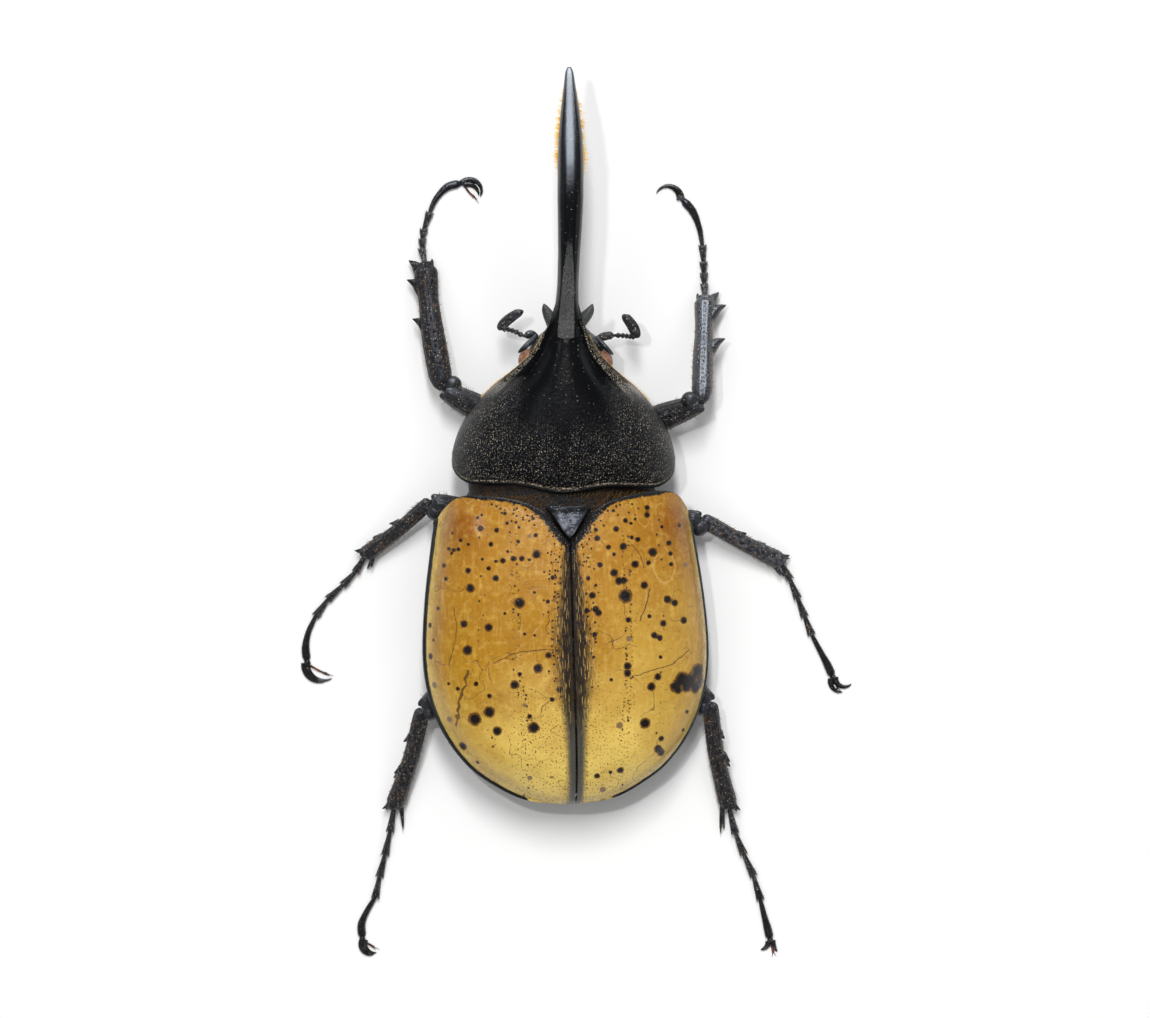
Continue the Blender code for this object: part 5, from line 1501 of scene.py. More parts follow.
@dataclass
class WingCases:
    """The pair of wing cases: a curved surface with borders, swellings, spots and scratches."""

    half_width: float = 20.45
    rear: float = 22.55
    front: float = 22.3
    height: float = 13.4
    narrowing: float = 0.145
    wall: float = 0.9
    shoulder_at: float = 13.6
    shoulder_radius: Pair = (4.2, 3.7)
    tip: float = 14.8
    scutellum: Pair = (3.4, 4.6)
    rise: float = 2.9
    rise_over: float = 4.0
    arch: Pair = (0.93, 0.82)
    roundness: float = 2.15
    taper: float = 1.6
    ridge_power: float = 0.52
    ridge_fall: float = 0.17
    front_half: float = 17.8
    half_length: float = 22.4
    gap: float = 0.32
    drift: float = 0.7
    drift_power: float = 1.5
    columns: int = 112
    rows: int = 270
    dark_band: tuple[Pair, ...] = (
        (-22.0, 1.0), (-17.0, 1.15), (-12.0, 1.35), (-8.0, 1.9), (-3.0, 2.5), (2.0, 2.4), (7.0, 1.8), (12.0, 1.2),
        (15.0, 0.8), (20.0, 0.7),
    )

    def profile(self, y: Array) -> tuple[Array, Array]:
        """The half-width and the height along the suture at forward distances."""
        back, fore = np.maximum(-y, 0) / self.rear, np.maximum(y, 0) / self.front
        width = np.sqrt(np.maximum(1 - back**self.roundness, 0)) * (1 - self.narrowing * fore**self.taper)
        ridge = np.maximum(1 - back**2, 0) ** self.ridge_power * (1 - self.ridge_fall * fore**2)
        return self.half_width * width, self.height * ridge

    def front_edge(self, x: Array) -> Array:
        """How far forward the wing cases reach at a distance from the suture."""
        wide, long = self.scutellum
        past = np.clip((x - self.shoulder_at) / self.shoulder_radius[0], 0, 1)
        slope = self.tip + long * x / wide
        outer = self.tip + long + self.rise * (1 - np.exp(-(x - wide) / self.rise_over))
        return np.minimum(slope, outer - self.shoulder_radius[1] * (1 - np.sqrt(1 - past**2)))

    def tree(self, material: Material) -> Tree:
        """The geometry tree that draws one wing case over a grid, from its suture and its tip, in a material."""
        builder = Builder("wing case surface")
        way, width, rear, front, height, narrowing, gap, drift = builder.sizes(
            Way=1.0, Half_Width=self.half_width, Rear=self.rear, Front=self.front, Height=self.height,
            Narrowing=self.narrowing, Gap=self.gap, Drift=self.drift,
        )
        form = {"Size_X": 1.0, "Size_Y": 1.0, "Vertices_X": self.columns, "Vertices_Y": self.rows}
        grid = builder.out(builder.node("GeometryNodeMeshGrid", **form))
        across, along, _ = builder.split(builder.out(builder.node("GeometryNodeInputPosition")))
        mesh = builder.store(builder.store(grid, "across", across + 0.5), "along", (along + 0.5) * 0.985 + 0.015)

        across, along = builder.stored("across"), builder.stored("along")
        angle = across * (math.pi / 2)
        sine = angle.of("SINE").most(0.0) ** self.arch[0]
        cosine = angle.of("COSINE").most(0.0) ** self.arch[1]
        reach = sine * (self.shoulder_at + self.shoulder_radius[0])
        wide, long = self.scutellum
        slope = reach * (long / wide) + self.tip
        outer = (1.0 - ((reach - wide) * (-1 / self.rise_over)).of("EXPONENT")) * self.rise + (self.tip + long)
        past = ((reach - self.shoulder_at) / self.shoulder_radius[0]).most(0.0).least(1.0)
        drop = (1.0 - (1.0 - past * past).most(0.0).of("SQRT")) * self.shoulder_radius[1]
        edge = slope.least(outer - drop)
        back = ((1.0 - along * 2.0).most(0.0) * (math.pi / 2)).of("SINE")
        fore = (along * 2.0 - 1.0).most(0.0) * edge / front
        y = fore * front - back * rear
        side = (1.0 - back**self.roundness).most(0.0).of("SQRT") * (1.0 - narrowing * fore**self.taper) * width
        ridge = (1.0 - back * back).most(0.0) ** self.ridge_power * (1.0 - fore * fore * self.ridge_fall) * height
        x = (gap * 0.5 + (side - gap * 0.5) * sine) * way + drift * back**self.drift_power * (1.0 - across)
        spot = builder.scaled(builder.vector(x, y, ridge * cosine), MM)
        shaped = builder.node("GeometryNodeSetPosition", Geometry=mesh, Position=spot)
        return builder.finish(builder.out(shaped), material)

    def build(self) -> None:
        """Makes both wing cases and settles them."""
        material = AmberFinish().material()
        tree = self.tree(material)
        for side in Side:
            piece = make_piece(f"wing_case_{side.word}", Shape(np.zeros((1, 3)), []), Placing((0, 0, 0)))
            run_tree(piece, tree, {"Way": float(side.value)})
            self.dress(piece, side)
            settle(piece, Slot.AMBER, material, f"elytron_{side.word}")

    def dress(self, piece: Piece, side: Side) -> None:
        """Gives one wing case its borders, swellings, marks and wall.

        Args:
            piece: the bare surface, in the hind body's frame.
            side: its side.
        """
        mesh = piece.data
        local = coordinates(piece)
        across = np.empty(len(local), np.float32)
        mesh.attributes["across"].data.foreach_get("value", across)
        mesh.update()
        normal = np.empty(len(local) * 3, np.float32)
        mesh.vertices.foreach_get("normal", normal)
        normal = normal.reshape(-1, 3).astype(float)
        if normal[:, 2].mean() < 0:
            mesh.flip_normals()
            normal = -normal

        y = local[:, 1]
        width, _ = self.profile(y)
        back = np.maximum(-y, 0) / self.rear
        x = np.abs(local[:, 0] - self.drift * back**self.drift_power * (1 - across))
        rim = self.front_edge(x * self.front_half / np.maximum(width, self.front_half)) - y
        seam = np.where(across < 0.3, x - self.gap / 2, FAR)
        flank = (1 - across) * np.maximum(width, 3.0) * 1.25 + 0.1
        tail = 1 - band(back, 0.9, 1.0)

        inner = (1 - band(x, 2.0, 7.5)) * band(-y, 5.0, 12.0)
        relief = -0.34 * np.maximum(band(flank, 0.7, 1.15), inner) * (1 - band(flank, 3.5, 8.0))
        relief += (0.1 * hump(seam, 0.25, 0.25) - 0.12 * hump(seam, 0.72, 0.22)) * tail
        relief += 0.1 * hump(rim, 0.2, 0.3) - 0.05 * hump(rim, 1.2, 0.5)
        bump = mound(x, y, (14.8, 17.6), (2.6, 2.6))
        relief += 0.55 * bump - 0.25 * mound(x, y, (11.6, 18.0), (1.6, 3.0))
        relief += 0.35 * mound(x, y, (9.5, -15.0), (3.4, 2.6)) - 0.16 * mound(x, y, (9.0, -19.0), (4.0, 1.6))
        local = local + normal * relief[:, None]
        world = HIND.world(local)
        mesh.vertices.foreach_set("co", (world * MM).astype(np.float32).ravel())
        mesh.update()

        near_front = 1 - band(rim, 0.9, 2.4)
        dark = smooth_table(self.dark_band, np.clip(y, self.dark_band[0][0], self.dark_band[-1][0]))[:, 0]
        border = 0.14 + 0.45 * (1 - band(x, 12.5, 15.5)) + 1.1 * (1 - band(x, 2.5, 6.5))
        ranks = world.reshape(self.columns, self.rows, 3)
        arc = np.zeros(ranks.shape[:2])
        arc[1:] = np.cumsum(np.linalg.norm(np.diff(ranks, axis=0), axis=-1), 0)
        line = 8.0 - 1.4 * band(-y, 0, 18)
        rows = 0.6 * (hump(x, line - 0.4, 0.25) + hump(x, line + 0.4, 0.25)) + 0.3 * hump(x, line + 4.8, 0.4)
        beside = band(x, 1.2, 1.7) * (1 - band(x, 2.2, 4.6)) * band(y, -10, 0)
        punched = 0.75 * beside + 0.9 * band(rim, 0.5, 0.9) * (1 - band(rim, 1.6, 3.4)) * (1 - band(x, 7.0, 13.0))
        punched = np.clip(np.maximum(punched, rows * 0.8), 0, 0.9)
        rows = rows + 0.6 * (1 - band(seam, 1.6, 4.6)) + 0.6 * near_front
        rows = rows + 0.7 * band(-y, 3, 11) * (1 - band(x, 6, 13)) + 0.35 * (1 - band(flank, 2, 7))
        row = np.where((rim > 3.5) & (y > -14.0), np.abs(np.abs(x - line) - 0.4), FAR)
        paint(
            piece,
            seam=np.where(across < 0.35, (x - self.gap / 2) / dark, FAR),
            rim=np.clip(rim / border, 0, FAR),
            sheet=np.stack([arc.ravel() * side.value, y, 0 * y], 1),
            edge=flank + 4 * inner,
            reach=y / self.half_length,
            shoulder=np.clip(bump * 1.3, 0, 1),
            flank=1 - band(flank, 1.5, 7.0),
            punched=punched,
            pitting=np.clip(rows, 0.1, 0.9),
            row=np.where(y < -6.0, np.minimum(row, np.abs(x - 1.5)), row),
        )
        self.mark(piece, side, world)
        walled(piece, self.wall)

    def mark(self, piece: Piece, side: Side, world: Array) -> None:
        """Stores the spots and scratches of one wing case.

        Args:
            piece: the wing case.
            side: its side.
            world: its points.
        """
        count = len(world)
        near, pale, towards = np.full(count, 30.0), np.zeros(count), np.full((count, 3), 20.0)
        marks = [(spot, 0.0) for spot in DARK_SPOTS[side]] + [(spot, 1.0) for spot in PALE_SPOTS[side]]
        for (x, y, radius), light in marks:
            flat = np.hypot(world[:, 0] - x, world[:, 1] - y)
            centre = world[flat.argmin()].copy()
            centre[:2] = x, y
            offset = (world - centre) * (1.0, 1.0, 0.4) / radius
            distance = np.linalg.norm(offset, axis=1)
            closer = distance < near
            near = np.where(closer, distance, near)
            pale = np.where(closer, light, pale)
            towards[closer] = offset[closer]
        line, on = np.full(count, 3.0), np.zeros(count)
        for breadth, *path in SCRATCHES[side]:
            points = smooth_path(path, np.linspace(0, 1, 60))
            heading = unit(np.gradient(points, axis=0))
            gaps = world[:, None, :2] - points[None]
            nearest = np.linalg.norm(gaps, axis=2).argmin(1)
            gap = gaps[np.arange(count), nearest]
            way = heading[nearest]
            aside = gap[:, 0] * way[:, 1] - gap[:, 1] * way[:, 0]
            beyond = np.abs((gap * way).sum(1))
            here = (np.abs(aside) < 0.7) & (beyond < 0.25)
            line = np.where(here, aside / abs(breadth), line)
            on = np.where(here, np.sign(breadth), on)
        paint(piece, spot=near, spot_way=towards, pale=pale, scratch=line, scratched=on)


@dataclass
class Body:
    """What lies under the wing cases and between them and the shield: scutellum, breast and belly."""

    cases: WingCases = field(default_factory=WingCases)
    inset: float = 1.45
    back_inset: float = 0.5
    middle: float = -0.6
    depth: float = 5.2
    waist: float = 1.4
    front: float = 18.1
    neck: Place = (7.4, 13.2, 7.6)
    neck_bend: float = 4.6
    plates: int = 6

    def ring(self, y: Array, width: Array, top: Array, depth: Array, count: int) -> Array:
        """Sections of the hind body: an arch above and a shallower belly below."""
        turn = circle(count)
        c, s = np.cos(turn)[None], np.sin(turn)[None]
        upper = s >= 0
        side = np.where(upper, power(c, 0.93), power(c, 0.82))
        rise = np.where(upper, (top[:, None] - self.middle) * np.abs(s) ** 0.82, -depth[:, None] * np.abs(s) ** 0.82)
        return np.stack([width[:, None] * side, np.broadcast_to(y[:, None], rise.shape), self.middle + rise], -1)

    def breast_rings(self) -> Array:
        """Sections of the breast, from the waist forward to the neck."""
        y = np.linspace(self.waist + 0.3, self.front, 90)
        width, ridge = self.cases.profile(y)
        width, top = width - self.inset, ridge - self.inset - self.back_inset
        depth = np.full_like(y, self.depth)
        share = np.linspace(0.03, 1, 36)
        reach, neck_width, neck_top = self.neck
        y = np.append(y, self.front + reach * share)
        bend = np.minimum(share * reach / self.neck_bend, 1.0)
        width = np.append(width, width[-1] + (neck_width - width[-1]) * bend**0.7)
        top = np.append(top, neck_top + (top[-1] - neck_top) * (1 - bend) ** 1.5)
        depth = np.append(depth, self.depth - 1.2 * bend - 0.6 * share)
        return self.ring(y, width, top, depth, 140)

    def build_breast(self) -> None:
        """The breast with its keel and the seams between its plates."""
        rings = self.breast_rings()
        y, x = rings[..., 1], rings[..., 0]
        below = rings[..., 2] < self.middle
        seams = 0.22 * (hump(y, 6.5, 0.2) + hump(y, 13.4, 0.2) + hump(np.abs(x), 8.5 + 0.2 * (y - 6), 0.25))
        keel = 0.35 * hump(x, 0, 0.7) - 0.2 * hump(np.abs(x), 1.4, 0.35)
        rings[..., 2] += np.where(below, seams - keel, 0)
        piece = outwards(make_piece("breast", Shape.skin(rings), HIND))
        points = rings.reshape(-1, 3)
        shade = 0.9 * hump(points[:, 0], 0.0, 5.5) * band(points[:, 1], 13.0, 15.0)
        paint(piece, shade=np.append(shade, [0.0, 0.0]))
        finish = PlateFinish("breast skin", srgb(22, 18, 15), srgb(52, 38, 26), 0.3, 0.08, 0.5, 0.14)
        settle(piece, Slot.HAIR, finish.material(), "thorax")

    def build_belly(self) -> None:
        """The belly in overlapping plates, each a little proud of the one behind."""
        rear = self.cases.rear - 1.7
        share = np.linspace(0, 1, 260)
        turn = np.pi / 2 * share**0.82
        y = self.waist - (rear + self.waist) * np.sin(turn)
        roundness = np.maximum(1 - (y / rear) ** 2, 0.0004)
        width = (self.cases.half_width - self.inset) * np.sqrt(roundness) - 0.2 * np.sqrt(roundness)
        top = (self.cases.height - self.inset - self.back_inset) * roundness**self.cases.ridge_power
        lap = (share * self.plates) % 1.0
        lift = 0.34 * lap**2 * (1 - band(lap, 0.94, 1.0)) * np.cos(turn)
        depth = self.depth * np.maximum(np.cos(turn), 0.02) ** 0.42 + lift
        rings = self.ring(y, width + lift * 0.4, np.maximum(top, 0.0), depth, 140)
        piece = outwards(make_piece("belly", Shape.skin(rings), HIND))
        finish = PlateFinish("belly shell", srgb(26, 20, 18), srgb(84, 58, 40), 0.45, 0.09, 0.36)
        settle(piece, Slot.BLACK, finish.material(), "abdomen")

    def build_scutellum(self) -> None:
        """The small raised triangle between the wing cases' roots."""
        tip, widest, length = 15.45, 3.25, 4.95
        wide, high = self.cases.arch
        share, across = np.linspace(0, 1, 60), np.linspace(-1, 1, 70)
        y = tip + length * share[:, None] + 0 * across[None] - 0.25 * share[:, None] ** 3 * (1 - across[None] ** 2)
        half = 0.05 + (widest - 0.05) * np.minimum(share * 1.12, 1.0) ** 0.92
        x = half[:, None] * across[None]
        width, ridge = self.cases.profile(y)
        arch = np.maximum(1 - (np.abs(x) / width) ** (2 / wide), 0) ** (high / 2)
        dome = 0.6 * (1 - across[None] ** 4) * np.sin(np.pi * np.minimum(share, 0.75))[:, None] ** 0.6
        dent = 0.22 * mound(x, y, (0.0, 18.6), (1.3, 1.1))
        rim = 0.4 * (np.abs(across)[None] ** 12)
        rows = np.stack([x, y, ridge * arch - 0.25 + dome - dent - rim], -1)
        piece = make_piece("shoulder_triangle", Shape.skin(rows, closed=False), HIND)
        piece.data.update()
        if piece.data.vertices[2000].normal.z < 0:
            piece.data.flip_normals()
        share, across = np.broadcast_arrays(share[:, None], across[None])
        shade = np.maximum(band(np.abs(across), 0.72, 0.9), band(share, 0.72, 0.86)).ravel()
        paint(piece, shade=np.clip(np.maximum(shade, 1 - band(share.ravel(), 0.08, 0.2)), 0, 0.96))
        walled(piece, 0.8)
        # Pale bluish patches on the scutellum: partly painted sheen.
        finish = PlateFinish("scutellum shell", srgb(52, 53, 60), srgb(160, 162, 174), 0.55, 0.1, 0.2)
        settle(piece, Slot.BLACK, finish.material(), "scutellum")

    def neck_patch(self) -> Patch:
        """The bare ground of the hair between the shield and the wing cases."""
        rings = self.breast_rings()[88:108, 2:68]
        lie = np.array([0.0, 0.55, 0.8])
        return Patch(rings, HIND, lie, 1 - 0.85 * hump(rings[..., 0], 0.0, 5.0), 1.0)

    def belly_patch(self) -> Patch:
        """The bare ground of the hair under the breast."""
        rings = self.breast_rings()[2:110, 76:134]
        return Patch(rings, HIND, np.array([0.0, -0.9, -0.45]), 1.0, 1.0)


# ---- Legs


@dataclass(frozen=True)
class Leg:
    """One leg, in the frame of the whole beetle.

    Teeth are (share of the shin, reach outwards); spines add a height; spurs are (forward, inward, up) from the
    ankle; claws are (heading, turn, length, drop, sideways spread); empodium is the path of the rod between them.
    """

    name: str
    side: Side
    girth: float
    bow: float
    knob: Pair
    coxa: Place
    hip: Place
    knee: Place
    ankle: Place
    toes: tuple[Place, ...]
    foot: tuple[Place, ...]
    claws: Table
    spurs: tuple[Place, ...]
    teeth: tuple[Pair, ...] = ()
    spines: tuple[Place, ...] = ()
    empodium: tuple[Place, ...] = ()
    tooth_root: float = 0.16
    tooth_bend: float = 0.05
    # Shares of bluish grey on the shin, partly wear and partly painted sheen, and of polish, which also paints a
    # bluish-grey highlight.
    worn: float = 0.12
    polish: float = 0.0
    shine: float = 0.5

    @property
    def heading(self) -> Array:
        """The direction from the knee to the ankle."""
        return unit(np.array(self.ankle) - np.array(self.knee))

    @property
    def outward(self) -> Array:
        """The level direction across the shin, away from the beetle's middle."""
        across = unit(np.cross(self.heading, (0, 0, 1)))
        return across if across[0] * self.side.value > 0 else -across

    @property
    def rise(self) -> Array:
        """The direction across the shin that points up."""
        up = np.cross(self.heading, self.outward)
        return up if up[2] > 0 else -up

    def build(self) -> None:
        """Makes the leg's five pieces and the small rod between its claws."""
        self.build_hip()
        self.build_thigh()
        self.build_shin()
        self.build_foot()
        self.build_claws()

    def finish(self, joint: str, **sizes: Any) -> Material:
        """The leg shell for one of its joints."""
        return LegFinish(f"{joint} shell {self.name}", **sizes).material()

    def build_hip(self) -> None:
        """The coxa and the small joint below it."""
        coxa, hip = np.array(self.coxa), np.array(self.hip)
        path = [coxa + (0, 0, 1.5), coxa, hip + (hip - coxa) * 0.12]
        shape = limb(path, ((0, 1.7), (0.35, 2.2), (0.75, 1.8), (1, 0.9)), 28, 40)
        ball = ellipsoid(tuple(hip), (1.3, 1.3, 1.25), 32, 24)
        piece = grown(f"hip_{self.name}", shape.and_(ball), WHOLE, 0.14, 2)
        follow(piece, WHOLE.world(np.array(path)), 1.8)
        settle(piece, Slot.LEG, self.finish("hip"), f"coxa_{self.name}")

    def build_thigh(self) -> None:
        """The femur, with the knob and the lips of the knee."""
        hip, knee = np.array(self.hip), np.array(self.knee)
        heading, across = pointing(hip, knee)
        path = [hip - heading * 0.4, hip * 0.6 + knee * 0.4, knee - heading * 0.1]
        radii = ((0.0, 0.7), (0.06, 1.35), (0.25, 1.88), (0.6, 1.98), (0.84, 1.7), (0.95, 1.4), (1.0, 0.8))
        trunk = limb(path, radii, 40, 90)
        knob = ellipsoid((*self.knob, self.knee[2] - 0.3), (1.28, 1.28, 1.2), 32, 24)
        lips = []
        for way in (-1, 1):
            start = knee - heading * 2.4 + across * way * 0.75 + (0, 0, 0.2)
            lip = [start, knee + heading * 0.15 + across * way * 0.8 + (0, 0, 0.1)]
            lips.append(limb(lip, ((0, 0.5), (0.6, 0.56), (0.85, 0.45), (1, 0.16)), 18, 24))
        piece = grown(f"thigh_{self.name}", trunk.and_(knob, *lips), WHOLE, 0.1, 3)
        follow(piece, WHOLE.world(np.array(path)), 2.0, smooth_at=(0.86, 1.0))
        # The knee's smooth knob gets a painted bluish-grey highlight.
        settle(piece, Slot.LEG, self.finish("thigh", rows=14.0, bare=0.12), f"femur_{self.name}")

    def shin_path(self) -> list[Array]:
        """The curve of the shin's middle, from the knee to the ankle."""
        knee, ankle = np.array(self.knee), np.array(self.ankle)
        return [knee + self.heading * 0.1, (knee + ankle) / 2 - self.outward * self.bow, ankle + self.heading * 0.1]

    def shin_radii(self) -> tuple[Pair, ...]:
        """The shin's radii along its length."""
        if self.teeth:
            rows = ((0.0, 0.6), (0.04, 1.15), (0.14, 1.5), (0.35, 1.52), (0.72, 1.3), (0.93, 1.5), (1.0, 0.7))
        else:
            rows = ((0.0, 0.8), (0.03, 1.15), (0.14, 1.24), (0.45, 1.22), (0.75, 1.3), (0.94, 1.42))
            rows = (*rows, (0.985, 1.15), (1.0, 0.7))
        return tuple((share, radius * self.girth) for share, radius in rows)

    def build_shin(self) -> None:
        """The tibia with its teeth, spines and spurs."""
        knee, ankle, heading = np.array(self.knee), np.array(self.ankle), self.heading
        outward, rise = self.outward, self.rise
        length = np.linalg.norm(ankle - knee)
        parts = [limb(self.shin_path(), self.shin_radii(), 40, 100, flat=0.85)]
        for share, reach in self.teeth:
            root = knee + heading * length * min(share - self.tooth_root, 0.9) + outward * 0.35
            bend = knee + heading * length * min(share - self.tooth_bend, 0.99) + outward * reach * 0.55
            path = [root, bend, knee + heading * length * share + outward * reach]
            radii = ((0, 1.1, 0.9), (0.3, 0.95, 0.75), (0.6, 0.62, 0.5), (0.85, 0.28, 0.26), (1, 0.06, 0.06))
            parts.append(limb(path, radii, 20, 36))
        for share, reach, height in self.spines:
            root = knee + heading * length * share + outward * 0.55 + rise * height
            tip = root + outward * reach + heading * 1.35
            parts.append(limb([root, tip], ((0, 0.5), (0.5, 0.28), (0.85, 0.14), (1, 0.03)), 14, 20))
            parts.append(ellipsoid(tuple(root + heading * 0.2 - outward * 0.25), (0.8, 0.8, 0.6), 20, 14))
        for forward, inward, height in self.spurs:
            root = ankle - heading * 0.8 - outward * 0.72 + rise * height * 0.6
            tip = ankle + heading * forward - outward * inward + rise * height
            bend = (root + tip) / 2 - outward * 0.1 + heading * 0.1
            parts.append(limb([root, bend, tip], ((0, 0.44), (0.5, 0.27), (0.85, 0.15), (1, 0.04)), 14, 28))
        ends = [ankle - heading * 0.9, ankle + heading * 0.25]
        collar = limb(ends, ((0, 1.1), (0.6, 1.22), (1, 0.85)), 32, 16, flat=0.85)
        piece = grown(f"shin_{self.name}", parts[0].and_(*parts[1:], collar), WHOLE, 0.085, 2)
        follow(piece, WHOLE.world(np.array(self.shin_path())), 1.4, smooth_at=(1.3, 1.4))
        finish = self.finish("shin", rows=9.0, worn=self.worn, polish=self.polish, shine=self.shine)
        settle(piece, Slot.LEG, finish, f"tibia_{self.name}")

    def foot_path(self) -> list[Array]:
        """The joints of the tarsus: the ankle, the four short joints' ends and the long claw joint's bends."""
        return [np.array(point) for point in (self.ankle, *self.toes[1:], *self.foot)]

    def build_foot(self) -> None:
        """The five joints of the tarsus, narrow at the root and flared at the tip, with small end spines."""
        points = self.foot_path()
        parts = []
        for start, end in zip(points[:4], points[1:5]):
            heading, across = pointing(start, end)
            radii = ((0, 0.28, 0.28), (0.3, 0.37, 0.35), (0.72, 0.5, 0.45), (0.9, 0.56, 0.47), (1, 0.34, 0.32))
            path = [start - heading * 0.12, end + heading * 0.1]
            parts.append(limb(path, radii, 24, 34))
            for way in (-1, 1):
                root = end - heading * 0.4 + across * way * 0.36
                tip = end + heading * 0.34 + across * way * 0.58 + (0, 0, -0.12)
                parts.append(limb([root, tip], ((0, 0.22), (0.6, 0.11), (1, 0.03)), 12, 14))
        path = [points[4] - unit(points[5] - points[4]) * 0.1, *points[5:]]
        radii = ((0, 0.28), (0.2, 0.38), (0.45, 0.46), (0.72, 0.6), (0.9, 0.62), (1, 0.4))
        parts.append(limb(path, radii, 26, 70))
        shape = parts[0].and_(*parts[1:])
        shape.points[:, 2] = np.maximum(shape.points[:, 2], 0.0)
        piece = grown(f"foot_{self.name}", shape, WHOLE, 0.07, 2)
        follow(piece, WHOLE.world(np.array(points)), 0.6, smooth_at=(0.62, 0.66))
        colours = {"colour": (0.0078, 0.0084, 0.0098, 1.0), "rust": srgb(50, 42, 38)}
        settle(piece, Slot.LEG, self.finish("foot", rows=7.0, roughness=0.24, **colours), f"tarsus_{self.name}")

    def build_claws(self) -> None:
        """The pair of hooked claws with the knuckle that they share, and the rod between them."""
        points = self.foot_path()
        end = points[-1]
        facing, across = pointing(points[-2], end)
        parts = [limb([end, end + facing * 0.9], ((0, 0.4), (0.5, 0.5), (1, 0.3)), 20, 14)]
        for heading, turn, length, drop, spread in self.claws:
            place = end + facing * 0.35 + across * spread
            path, steps = [place.copy()], 10
            for k in range(1, steps + 1):
                angle = math.radians(heading + turn * (k - 0.5) / steps)
                place = place + np.array((math.cos(angle), math.sin(angle), 0)) * (length / steps)
                share = k / steps
                path.append(np.array((place[0], place[1], max(0.36 - 0.24 * share, end[2] - drop * share**1.4))))
            radii = ((0, 0.46), (0.25, 0.4), (0.6, 0.29), (0.88, 0.15), (1, 0.03))
            parts.append(limb(path, radii, 20, 70))
        shape = parts[0].and_(*parts[1:])
        shape.points[:, 2] = np.maximum(shape.points[:, 2], 0.0)
        piece = grown(f"hooks_{self.name}", shape, WHOLE, 0.055, 2)
        finish = PlateFinish(f"claw shell {self.name}", pit=0.6, depth=0.02, roughness=0.16)
        settle(piece, Slot.BLACK, finish.material(), f"claws_{self.name}")

        root = end + facing * 0.5
        rod_path = [root, *map(np.array, self.empodium)]
        if not self.empodium:
            rod_path.append(end + facing * 2.1 + (0, 0, -0.1))
        tip, heading = rod_path[-1], unit(rod_path[-1] - rod_path[-2])
        rod = limb(rod_path, ((0, 0.17), (0.7, 0.14), (0.9, 0.19), (1, 0.05)), 14, 24)
        for way in (-1, 1):
            hair = [tip - heading * 0.3, tip + heading * 0.6 + across * way * 0.3]
            rod = rod.and_(limb(hair, ((0, 0.08), (1, 0.02)), 8, 12))
        piece = outwards(make_piece(f"empodium_{self.name}", rod, WHOLE))
        finish = PlateFinish(f"empodium shell {self.name}", srgb(60, 30, 20), srgb(150, 70, 40), 0.2, 0.02)
        settle(piece, Slot.LEG, finish.material())

    def bristles(self) -> list[Patch]:
        """The bare ground of the bristles on the thigh, the shin and the foot."""
        patches = []
        hip, knee = np.array(self.hip), np.array(self.knee)
        path = [hip + (knee - hip) * 0.1, hip * 0.6 + knee * 0.4, knee - (knee - hip) * 0.06]
        radii = ((0.0, 1.5), (0.2, 1.8), (0.6, 1.9), (0.9, 1.5), (1.0, 1.2))
        rings = tube(path, radii, 24, 30)
        centre = rings.mean(1, keepdims=True)
        along = unit(knee - hip)
        for start, stop in ((10, 16), (20, 26)):
            rows = rings.take(range(start, stop), axis=1, mode="wrap")
            patches.append(Patch(rows, WHOLE, unit(rows - centre) + along * 0.9, 0.4, 0.8))
        rings = tube(self.shin_path(), [(s, r * 0.93) for s, r in self.shin_radii()], 24, 40, flat=0.85)[3:37]
        centre = rings.mean(1, keepdims=True)
        for start, stop, grow in ((0, 24, 0.5), (-2, 3, 0.8), (10, 15, 0.8)):
            rows = rings.take(range(start, stop + 1), axis=1, mode="wrap")
            patches.append(Patch(rows, WHOLE, unit(rows - centre) * 0.8 + self.heading, grow, 0.65))
        points = self.foot_path()
        for start, end in zip(points[:4], points[1:5]):
            heading = unit(end - start)
            rings = tube([start + (end - start) * 0.55, end], ((0, 0.45, 0.42), (1, 0.5, 0.46)), 16, 8)
            rows = rings.take(range(17), axis=1, mode="wrap")
            centre = rings.mean(1, keepdims=True)
            patches.append(Patch(rows, WHOLE, unit(rows - centre) * 0.5 + heading, 0.5, 0.6))
        return patches


